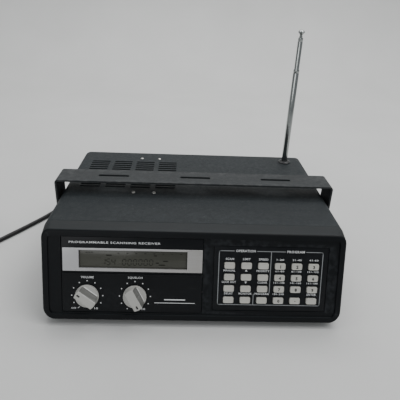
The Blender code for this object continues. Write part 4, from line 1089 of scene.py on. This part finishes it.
def lettering(bm, text, across, down, height, width=None, rise=PRINT_RISE, bold=0.014):
    """Raised print on the face: capitals of that height, centred, and drawn to that width if it is given."""
    curve = bpy.data.curves.new("letters", "FONT")
    curve.body = text
    curve.size = 1.0
    curve.align_x = "CENTER"
    curve.resolution_u = 2
    curve.offset = bold
    curve.space_character = 1.12
    curve.extrude = 0.5
    holder = bpy.data.objects.new("letters", curve)
    bpy.context.scene.collection.objects.link(holder)
    bpy.context.view_layer.update()
    mesh = bpy.data.meshes.new_from_object(holder.evaluated_get(bpy.context.evaluated_depsgraph_get()))
    made = bmesh.new()
    made.from_mesh(mesh)
    bmesh.ops.remove_doubles(made, verts=made.verts, dist=1e-5)
    bpy.data.objects.remove(holder)
    bpy.data.meshes.remove(mesh)
    xs = [v.co.x for v in made.verts]
    ys = [v.co.y for v in made.verts]
    scale = height / (max(ys) - min(ys))
    stretch = width / (max(xs) - min(xs)) if width else scale
    bmesh.ops.translate(made, vec=(-(max(xs) + min(xs)) / 2, -(max(ys) + min(ys)) / 2, 0), verts=made.verts)
    bmesh.ops.scale(made, vec=(stretch, scale, 2 * rise), verts=made.verts)
    bmesh.ops.rotate(made, matrix=Matrix.Rotation(math.pi / 2, 3, "X"), verts=made.verts)
    bmesh.ops.translate(made, vec=on_face(across, down, PANEL_FRONT), verts=made.verts)
    merge(bm, made)


def rule(bm, points, width):
    """A thin printed line through points on the face, given as (across, down)."""
    for (x1, s1), (x2, s2) in zip(points, points[1:]):
        length = math.hypot(x2 - x1, s2 - s1) + width
        made = bmesh.new()
        add_box(made, (length, 2 * PRINT_RISE, width))
        round_edges(made, along(made.edges, 1), width * 0.45, 3)
        slope = math.atan2(s2 - s1, x2 - x1)
        bmesh.ops.rotate(made, matrix=Matrix.Rotation(slope, 3, "Y"), verts=made.verts)
        bmesh.ops.translate(made, vec=on_face((x1 + x2) / 2, (s1 + s2) / 2, PANEL_FRONT), verts=made.verts)
        merge(bm, made)


def arc_corner(centre, radius, first, last, steps=5):
    """Points round a corner of a printed line, with angles in degrees from across, turning down."""
    points = []
    for step in range(steps + 1):
        angle = math.radians(first + (last - first) * step / steps)
        points.append((centre[0] + radius * math.cos(angle), centre[1] + radius * math.sin(angle)))
    return points


CAPS = 0.0019
control_print = bmesh.new()
lettering(control_print, "PROGRAMMABLE SCANNING RECEIVER", -0.0700, 0.0112, 0.0019, 0.079)
lettering(control_print, "VOLUME", -0.0940, 0.0428, 0.0021, 0.0112)
lettering(control_print, "SQUELCH", -0.0522, 0.0427, 0.0021, 0.0128)
lettering(control_print, "OFF", -0.1062, 0.0717, 0.0016, 0.0044)
for knob_x, _ in KNOBS.values():
    lettering(control_print, "10", knob_x + 0.0076, KNOB_DROP + 0.0120, 0.0018, 0.0030)
rule(control_print, [(-0.1026, KNOB_DROP + 0.0119), (-0.1010, KNOB_DROP + 0.0106)], 0.0005)
rule(control_print, [(-0.0350, 0.0656), (0.0005, 0.0656)], 0.0005)
rule(control_print, [(-0.0262, 0.0625), (-0.0083, 0.0625)], 0.0009)
DOT_RING = 0.0136
for name, (knob_x, _) in KNOBS.items():
    for degrees in range(-150, 121, 30):
        if name == "volume" and degrees == -150:
            continue
        turned = math.radians(degrees)
        spot = bmesh.new()
        add_rod(spot, 0.00055, 2 * PRINT_RISE, (0, 0, 0), "Y", 14)
        across, down = knob_x + DOT_RING * math.sin(turned), KNOB_DROP - DOT_RING * math.cos(turned)
        bmesh.ops.translate(spot, vec=on_face(across, down, PANEL_FRONT), verts=spot.verts)
        merge(control_print, spot)
piece("control_lettering", control_print, WHITE_INK, place=FACE)

# the words and channel numbers over the keys, by row and column, each with its width
LABEL_LIFT = 0.0059
NUMBER_CAPS = 0.0016
LABELS = {
    (0, 0): ("SCAN", 0.0073), (0, 1): ("LIMIT", 0.0066), (0, 2): ("SPEED", 0.0085),
    (0, 3): ("1-20", 0.0066), (0, 4): ("21-40", 0.0080), (0, 5): ("41-60", 0.0082),
    (1, 0): ("MANUAL", 0.0104), (1, 2): ("PRIORITY", 0.0114),
    (1, 3): ("61-80", 0.0080), (1, 4): ("81-100", 0.0090), (1, 5): ("101-120", 0.0100),
    (2, 0): ("LOCK OUT", 0.0124), (2, 2): ("CLEAR", 0.0086),
    (2, 3): ("121-140", 0.0097), (2, 4): ("141-160", 0.0097), (2, 5): ("161-180", 0.0099),
    (3, 0): ("DELAY", 0.0078), (3, 1): ("MONITOR", 0.0116), (3, 2): ("PROGRAM", 0.0128),
    (3, 3): ("181-200", 0.0099), (3, 5): ("ENTER", 0.0083),
}
keypad_print = bmesh.new()
lettering(keypad_print, "OPERATION", 0.0443, 0.0161, 0.0022, 0.0172)
lettering(keypad_print, "PROGRAM", 0.0887, 0.0161, 0.0022, 0.0155)
for row, column, across, down in key_places:
    if (row, column) in LABELS:
        text, width = LABELS[row, column]
        height = CAPS if text[0].isalpha() else NUMBER_CAPS
        lettering(keypad_print, text, across, down - LABEL_LIFT, height, width)
    elif column == 1:
        arrow = bmesh.new()
        add_rod(arrow, 0.0013, 2 * PRINT_RISE, (0, 0, 0), "Y", 3)
        tip = max(arrow.verts, key=lambda v: v.co.z)
        wanted = math.pi / 2 if row == 1 else -math.pi / 2
        current = math.atan2(tip.co.z, tip.co.x)
        bmesh.ops.rotate(arrow, matrix=Matrix.Rotation(current - wanted, 3, "Y"), verts=arrow.verts)
        bmesh.ops.translate(arrow, vec=on_face(across, down - LABEL_LIFT, PANEL_FRONT), verts=arrow.verts)
        merge(keypad_print, arrow)
piece("keypad_lettering", keypad_print, WHITE_INK, place=FACE)

OUTLINE_LEFT, OUTLINE_RIGHT, OUTLINE_TOP, OUTLINE_BOTTOM = 0.0210, 0.1130, 0.0162, 0.0660
OUTLINE_ROUND, OUTLINE_WIDTH = 0.0014, 0.00065
DIVIDE_X, DIVIDE_JOG_X, DIVIDE_JOG = 0.0670, 0.0528, 0.0553
outer_corners = (
    (OUTLINE_LEFT + OUTLINE_ROUND, OUTLINE_TOP + OUTLINE_ROUND, 270, 180),
    (OUTLINE_LEFT + OUTLINE_ROUND, OUTLINE_BOTTOM - OUTLINE_ROUND, 180, 90),
    (OUTLINE_RIGHT - OUTLINE_ROUND, OUTLINE_BOTTOM - OUTLINE_ROUND, 90, 0),
    (OUTLINE_RIGHT - OUTLINE_ROUND, OUTLINE_TOP + OUTLINE_ROUND, 0, -90),
)
round_trip = [(0.0341, OUTLINE_TOP)]
for across, down, first, last in outer_corners:
    round_trip += arc_corner((across, down), OUTLINE_ROUND, first, last)
round_trip.append((0.0980, OUTLINE_TOP))
outline = bmesh.new()
rule(outline, round_trip, OUTLINE_WIDTH)
rule(outline, [(0.0545, OUTLINE_TOP), (0.0794, OUTLINE_TOP)], OUTLINE_WIDTH)
rule(outline, [
    (DIVIDE_X, OUTLINE_TOP),
    *arc_corner((DIVIDE_X - OUTLINE_ROUND, DIVIDE_JOG - OUTLINE_ROUND), OUTLINE_ROUND, 0, 90, 3),
], OUTLINE_WIDTH)
rule(outline, [
    *arc_corner((DIVIDE_JOG_X + OUTLINE_ROUND, DIVIDE_JOG + OUTLINE_ROUND), OUTLINE_ROUND, 270, 180, 3),
    (DIVIDE_JOG_X, OUTLINE_BOTTOM),
], OUTLINE_WIDTH)
piece("keypad_outline", outline, GREY_INK, place=FACE)

# ---------------------------------------------------------------- keys
KEY_PROUD = 0.0017
KEY_BACK = 0.0046
KEY_LIP = 0.0007
NUMERALS = {
    (0, 3): "1", (0, 4): "2", (0, 5): "3", (1, 3): "4", (1, 4): "5", (1, 5): "6",
    (2, 3): "7", (2, 4): "8", (2, 5): "9", (3, 3): "0", (3, 4): ".",
}
# the rim's rolled edge and the dished top, as steps inward and outward from the key's side
KEY_CORNER = 0.0012
KEY_ROLL = (
    (0.00008, 0.00022), (0.00014, 0.00018), (0.00020, 0.00009),
    (0.00020, 0.0), (0.00010, -0.00008), (0.00012, -0.00010),
)


def key_cap():
    """A key about its centre: rounded corners, a rolled rim and a shallow dished top."""
    bm = bmesh.new()
    shoulder = KEY_PROUD - sum(depth for _, depth in KEY_ROLL if depth > 0)
    add_box(bm, (KEY_SIZE[0], shoulder + KEY_BACK, KEY_SIZE[1]), (0, (KEY_BACK - shoulder) / 2, 0))
    round_edges(bm, along(bm.edges, 1), KEY_CORNER, 5)
    bmesh.ops.recalc_face_normals(bm, faces=bm.faces)
    top = min(bm.faces, key=lambda f: f.calc_center_median().y)
    for thickness, depth in KEY_ROLL:
        bmesh.ops.inset_region(bm, faces=[top], thickness=thickness, depth=depth, use_even_offset=True)
    return bm


for row, column, across, down in key_places:
    name = f"key_{row + 1}_{column + 1}"
    cap = key_cap()
    lip = bmesh.new()
    add_box(lip, (KEY_SIZE[0] + 2 * KEY_LIP, 0.0008, KEY_SIZE[1] + 2 * KEY_LIP), (0, 0.0042, 0))
    cap = carve(cap, lip, "UNION")
    bmesh.ops.translate(cap, vec=on_face(across, down, PANEL_FRONT), verts=cap.verts)
    piece(f"{name}_cap", cap, KEY_PLASTIC, body=name, replaces=name, place=FACE, angle=30)
    if (row, column) in NUMERALS:
        figure = bmesh.new()
        text = NUMERALS[row, column]
        size = 0.0030 if text != "." else 0.0010
        lettering(figure, text, across + 0.0002, down + 0.0001, size, rise=0.00003, bold=0.05)
        dish = sum(depth for _, depth in KEY_ROLL if depth < 0)
        bmesh.ops.translate(figure, vec=(0, -KEY_PROUD - dish, 0), verts=figure.verts)
        piece(f"{name}_numeral", figure, KEY_INK, body=name, place=FACE)

# ---------------------------------------------------------------- knobs
KNOB_RADIUS = 0.0103
KNOB_SKIRT = 0.0024
KNOB_HEIGHT = 0.0112
KNOB_LIFT = 0.0005
GRIP_HALF_FRONT, GRIP_HALF_BASE = 0.0037, 0.0056
POINTER_OUT = 0.0066
# how far out from the knob's middle the painted highlight lies on the skirt
HIGHLIGHT_INNER, HIGHLIGHT_OUTER = 0.0057, 0.0064


def knob_body():
    """A knob about its axis, pointing up: a low skirt with a turned rim and a tapered bar to grip."""
    skirt = bmesh.new()
    turn(skirt, [
        (0, KNOB_SKIRT), (KNOB_RADIUS - 0.0016, KNOB_SKIRT), (KNOB_RADIUS - 0.0012, KNOB_SKIRT - 0.00012),
        (KNOB_RADIUS - 0.0009, KNOB_SKIRT), (KNOB_RADIUS - 0.0005, KNOB_SKIRT),
        (KNOB_RADIUS - 0.0002, KNOB_SKIRT - 0.0001), (KNOB_RADIUS - 0.00003, KNOB_SKIRT - 0.0004),
        (KNOB_RADIUS, KNOB_SKIRT - 0.0008), (KNOB_RADIUS, 0.0003), (KNOB_RADIUS - 0.0003, 0), (0, 0),
    ], 72)
    bmesh.ops.rotate(skirt, matrix=Matrix.Rotation(math.pi / 2, 3, "X"), verts=skirt.verts)
    grip = bmesh.new()
    add_rod(grip, 0.0095, KNOB_HEIGHT, (0, -KNOB_HEIGHT / 2, 0), "Y", 72, KNOB_RADIUS * 0.97)
    for side in (-1, 1):
        slope = Vector((KNOB_HEIGHT * side, -(GRIP_HALF_BASE - GRIP_HALF_FRONT), 0)).normalized()
        slice_off(grip, (side * GRIP_HALF_FRONT, -KNOB_HEIGHT, 0), slope)
    bmesh.ops.recalc_face_normals(grip, faces=grip.faces)
    front = [e for e in grip.edges if all(v.co.y < -KNOB_HEIGHT + 1e-6 for v in e.verts)]
    round_edges(grip, front, 0.00055, 4)
    knob = carve(skirt, grip, "UNION")
    pocket = bmesh.new()
    add_box(pocket, (0.0016, 0.0008, 0.0030), (0, -KNOB_HEIGHT, POINTER_OUT))
    round_edges(pocket, along(pocket.edges, 1), 0.0003, 3)
    return carve(knob, pocket)


def knob_highlight_lines():
    """A painted highlight: the bright line on the skirt beside each flank of the grip."""
    lines = bmesh.new()
    for side in (-1, 1):
        strip = bmesh.new()
        add_rod(strip, 0.0093, 0.0005, (0, -KNOB_SKIRT - 0.0002, 0), "Y", 72)
        slice_off(strip, (side * HIGHLIGHT_INNER, 0, 0), (-side, 0, 0))
        slice_off(strip, (side * HIGHLIGHT_OUTER, 0, 0), (side, 0, 0))
        merge(lines, strip)
    return lines


def knob_pointer():
    """The black mark let into the grip's front."""
    pointer = bmesh.new()
    add_box(pointer, (0.00156, 0.0002, 0.00296), (0, -KNOB_HEIGHT + 0.00022, POINTER_OUT))
    round_edges(pointer, along(pointer.edges, 1), 0.00028, 3)
    return pointer


for name, (knob_x, pointing) in KNOBS.items():
    turned = Matrix.Rotation(math.radians(pointing), 4, "Y")
    place = FACE @ Matrix.Translation(on_face(knob_x, KNOB_DROP, PANEL_FRONT - KNOB_LIFT)) @ turned
    cap = piece(
        f"{name}_knob_cap", knob_body(), KNOB_PLASTIC, body=name, replaces=f"{name}_knob",
        place=place, angle=28,
    )
    across_knob = (place.to_3x3() @ Vector((1, 0, 0))).normalized()
    outwards = (place.to_3x3() @ Vector((0, -1, 0))).normalized()
    # painted shade on both flanks of the grip
    cap.data.materials.append(KNOB_FLANK_SHADE)
    for face in cap.data.polygons:
        if abs(face.normal.dot(across_knob)) > 0.9 and face.normal.dot(outwards) > 0.02:
            face.material_index = 1
    piece(
        f"{name}_knob_highlight_lines", knob_highlight_lines(), KNOB_HIGHLIGHT, body=name, place=place,
        soften=0.00012,
    )
    piece(f"{name}_pointer", knob_pointer(), POINTER_INK, body=name, place=place)

# ---------------------------------------------------------------- mounting bracket
bracket_low, bracket_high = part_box("mounting_bracket")
bracket_half, bracket_top = bracket_high.x, bracket_high.z
bracket_width = bracket_high.y - bracket_low.y
pivot_y = middle(bracket_low, bracket_high).y
pivot_z = bracket_low.z + bracket_width / 2
BRACKET_SHEET = 0.002
BRACKET_SLOTS = (-0.083, 0.0, 0.083)
SLOT_SIZE = (0.031, 0.0046)
strip = bmesh.new()
add_box(
    strip, (2 * bracket_half, bracket_width, bracket_top - bracket_low.z),
    (0, pivot_y, (bracket_top + bracket_low.z) / 2),
)
bends = [e for e in along(strip.edges, 1) if all(v.co.z > pivot_z for v in e.verts)]
round_edges(strip, bends, 0.0035, 10)
bmesh.ops.recalc_face_normals(strip, faces=strip.faces)
open_sides = [f for f in strip.faces if abs(f.normal.y) > 0.9 or f.normal.z < -0.9]
bmesh.ops.delete(strip, geom=open_sides, context="FACES")
strip = thicken(strip, BRACKET_SHEET)
feet_edges = [e for e in along(strip.edges, 0) if all(v.co.z < bracket_low.z + 1e-5 for v in e.verts)]
round_edges(strip, feet_edges, bracket_width * 0.49, 14)
slots = bmesh.new()
for slot_x in BRACKET_SLOTS:
    slot = bmesh.new()
    add_box(slot, (*SLOT_SIZE, 0.01), (slot_x, pivot_y, bracket_top))
    round_edges(slot, along(slot.edges, 2), 0.0022, 5)
    merge(slots, slot)
strip = carve(strip, slots)
piece(
    "bracket", strip, BRACKET_PAINT, body="bracket", replaces="mounting_bracket",
    soften=0.0003, angle=32,
)

FLUTES = 18
for side_name, side in (("left", -1), ("right", 1)):
    node = f"bracket_screw_{side_name}"
    low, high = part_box(node)
    radius = (high.y - low.y) / 2
    head = high.x - bracket_half if side > 0 else -low.x - bracket_half
    screw = bmesh.new()
    turn(screw, [
        (0, head - 0.0012), (radius * 0.55, head - 0.0012), (radius * 0.62, head - 0.0004),
        (radius * 0.72, head), (radius * 0.86, head), (radius * 0.95, head - 0.0006),
        (radius, head - 0.0016), (radius, 0.0026), (radius * 0.94, 0.0016), (radius * 0.62, 0.0008),
        (radius * 0.60, 0.0003), (0.0025, 0.0003), (0.0025, -0.0115), (0.0021, -0.0119), (0, -0.0119),
    ], 72)
    flutes = bmesh.new()
    flute_ring = radius + 0.0004
    for number in range(FLUTES):
        turned = 2 * math.pi * number / FLUTES
        middle_of_flute = (flute_ring * math.cos(turned), flute_ring * math.sin(turned), head / 2)
        add_rod(flutes, 0.0009, 0.02, middle_of_flute, "Z", 12)
    screw = carve(screw, flutes)
    outward = Matrix.Rotation(side * math.pi / 2, 4, "Y")
    place = Matrix.Translation((side * bracket_half, pivot_y, pivot_z)) @ outward
    piece(
        f"thumb_screw_{side_name}", screw, HARD_BLACK, body=f"screw_{side_name}",
        replaces=node, place=place, angle=30,
    )

# ---------------------------------------------------------------- aerial
base_low, base_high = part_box("aerial_base_tube")
aerial_x, aerial_y = middle(base_low, base_high).x, middle(base_low, base_high).y
bush_low, bush_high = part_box("aerial_bushing")
bush_height = bush_high.z - CASE_TOP
bush_radius = (bush_high.x - bush_low.x) / 2
BUSH_BORE, BUSH_NECK, BUSH_END, BUSH_FLOOR = 0.00362, 0.0048, -0.0090, 0.0006
bushing = bmesh.new()
turn(bushing, [
    (BUSH_BORE, -0.0078), (BUSH_BORE, bush_height - 0.0003), (0.0040, bush_height), (0.0050, bush_height),
    (0.0055, bush_height - 0.0004), (0.0060, bush_height * 0.62), (0.0069, bush_height * 0.52),
    (bush_radius, bush_height * 0.40), (bush_radius, 0.0003), (BUSH_NECK, 0.0003), (BUSH_NECK, BUSH_END),
    (0, BUSH_END), (0, BUSH_END + BUSH_FLOOR), (BUSH_BORE, BUSH_END + BUSH_FLOOR), (BUSH_BORE, -0.0078),
], 56)
piece(
    "aerial_grommet", bushing, HARD_BLACK, replaces="aerial_bushing",
    place=Matrix.Translation((aerial_x, aerial_y, CASE_TOP)), angle=30,
)


def drawn_tube(radius, wall, low, high, mouth):
    """A telescopic section: a thin tube whose mouth is rolled in and ringed."""
    bm = bmesh.new()
    inner = radius - wall
    turn(bm, [
        (inner, low), (inner, high - 0.0002), (inner + wall * 0.4, high),
        (radius - wall * 0.35, high - 0.0002),
        (radius - wall * 0.10, high - 0.0006), (radius, high - 0.0010), (radius, high - mouth),
        (radius - wall * 0.55, high - mouth - 0.0003), (radius - wall * 0.55, high - mouth - 0.0008),
        (radius, high - mouth - 0.0011), (radius, low + 0.0003), (radius - wall * 0.3, low), (inner, low),
    ], 40)
    return bm


TUBE_WALL, TUBE_MOUTH = 0.0003, 0.0030
aerial_place = Matrix.Translation((aerial_x, aerial_y, 0))
for node, body, name in (
    ("aerial_base_tube", "receiver", "aerial_lower_section"),
    ("aerial_middle_tube", "aerial_middle", "aerial_upper_section"),
):
    low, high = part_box(node)
    tube = drawn_tube((high.x - low.x) / 2, TUBE_WALL, low.z, high.z, TUBE_MOUTH)
    piece(name, tube, CHROME, body=body, replaces=node, place=aerial_place, angle=30)

rod_low, rod_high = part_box("aerial_tip_rod")
ROD_RADIUS = 0.0017
TIP_HEIGHT = 0.0050
tip_radius = (rod_high.x - rod_low.x) / 2
tip_top, tip_base = rod_high.z, rod_high.z - TIP_HEIGHT
rod = bmesh.new()
turn(rod, [
    (0, tip_top), (tip_radius * 0.30, tip_top - 0.00008), (tip_radius * 0.55, tip_top - 0.0004),
    (tip_radius * 0.92, tip_top - 0.0018), (tip_radius, tip_top - 0.0022), (tip_radius, tip_top - 0.0028),
    (tip_radius * 0.92, tip_top - 0.0032), (tip_radius * 0.60, tip_base + 0.0004),
    (tip_radius * 0.52, tip_base), (ROD_RADIUS * 0.8, tip_base - 0.0003),
    (ROD_RADIUS * 0.8, tip_base - 0.0012), (ROD_RADIUS, tip_base - 0.0014),
    (ROD_RADIUS, rod_low.z + 0.0003), (ROD_RADIUS - 0.0003, rod_low.z), (0, rod_low.z),
], 40)
piece(
    "aerial_tip", rod, CHROME, body="aerial_tip", replaces="aerial_tip_rod",
    place=aerial_place, angle=30,
)

# ---------------------------------------------------------------- pieces kept from the frame, inside the case
for node, finish in {
    "front_board": BOARD, "main_board": BOARD, "keypad_mat": RUBBER, "speaker": SPEAKER,
    "power_transformer": STEEL, "volume_pot": STEEL, "squelch_pot": STEEL,
    "volume_shaft": NICKEL, "squelch_shaft": NICKEL,
}.items():
    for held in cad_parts[node].material_slots:
        held.material = finish

# ---------------------------------------------------------------- floor
floor_finish = Finish("studio_floor", 0.7)
mottle = floor_finish.noise(6, 3.0)
floor_colour = floor_finish.blend(
    floor_finish.level(mottle, 0.3, 0.7), (0.60, 0.60, 0.59), (0.64, 0.64, 0.63),
)
floor_finish.bump(floor_finish.noise(400, 3.0), 0.0001)
WALL_Y, WALL_CURVE, WALL_TOP, FLOOR_FRONT, FLOOR_HALF = 1.10, 0.30, 2.2, -2.5, 2.6
floor_bm = bmesh.new()
CURVE_STEPS = 16
sweep = [(FLOOR_FRONT, 0.0), (WALL_Y - WALL_CURVE, 0.0)]
for step in range(1, CURVE_STEPS + 1):
    angle = math.pi / 2 * step / CURVE_STEPS
    sweep.append((WALL_Y - WALL_CURVE + WALL_CURVE * math.sin(angle), WALL_CURVE * (1 - math.cos(angle))))
sweep.append((WALL_Y, WALL_TOP))
line = [floor_bm.verts.new((-FLOOR_HALF, y, z)) for y, z in sweep]
run = [floor_bm.edges.new(pair) for pair in zip(line, line[1:])]
widened = bmesh.ops.extrude_edge_only(floor_bm, edges=run)["geom"]
bmesh.ops.translate(
    floor_bm, vec=(2 * FLOOR_HALF, 0, 0), verts=[g for g in widened if isinstance(g, bmesh.types.BMVert)],
)
bmesh.ops.recalc_face_normals(floor_bm, faces=floor_bm.faces)
if sum(f.normal.z for f in floor_bm.faces) < 0:
    bmesh.ops.reverse_faces(floor_bm, faces=floor_bm.faces)
floor_mesh = bpy.data.meshes.new("studio_floor")
floor_bm.to_mesh(floor_mesh)
floor_bm.free()
floor_mesh.shade_smooth()
floor_mesh.materials.append(floor_finish.done(floor_colour))
floor = bpy.data.objects.new("studio_floor", floor_mesh)
bpy.context.scene.collection.objects.link(floor)
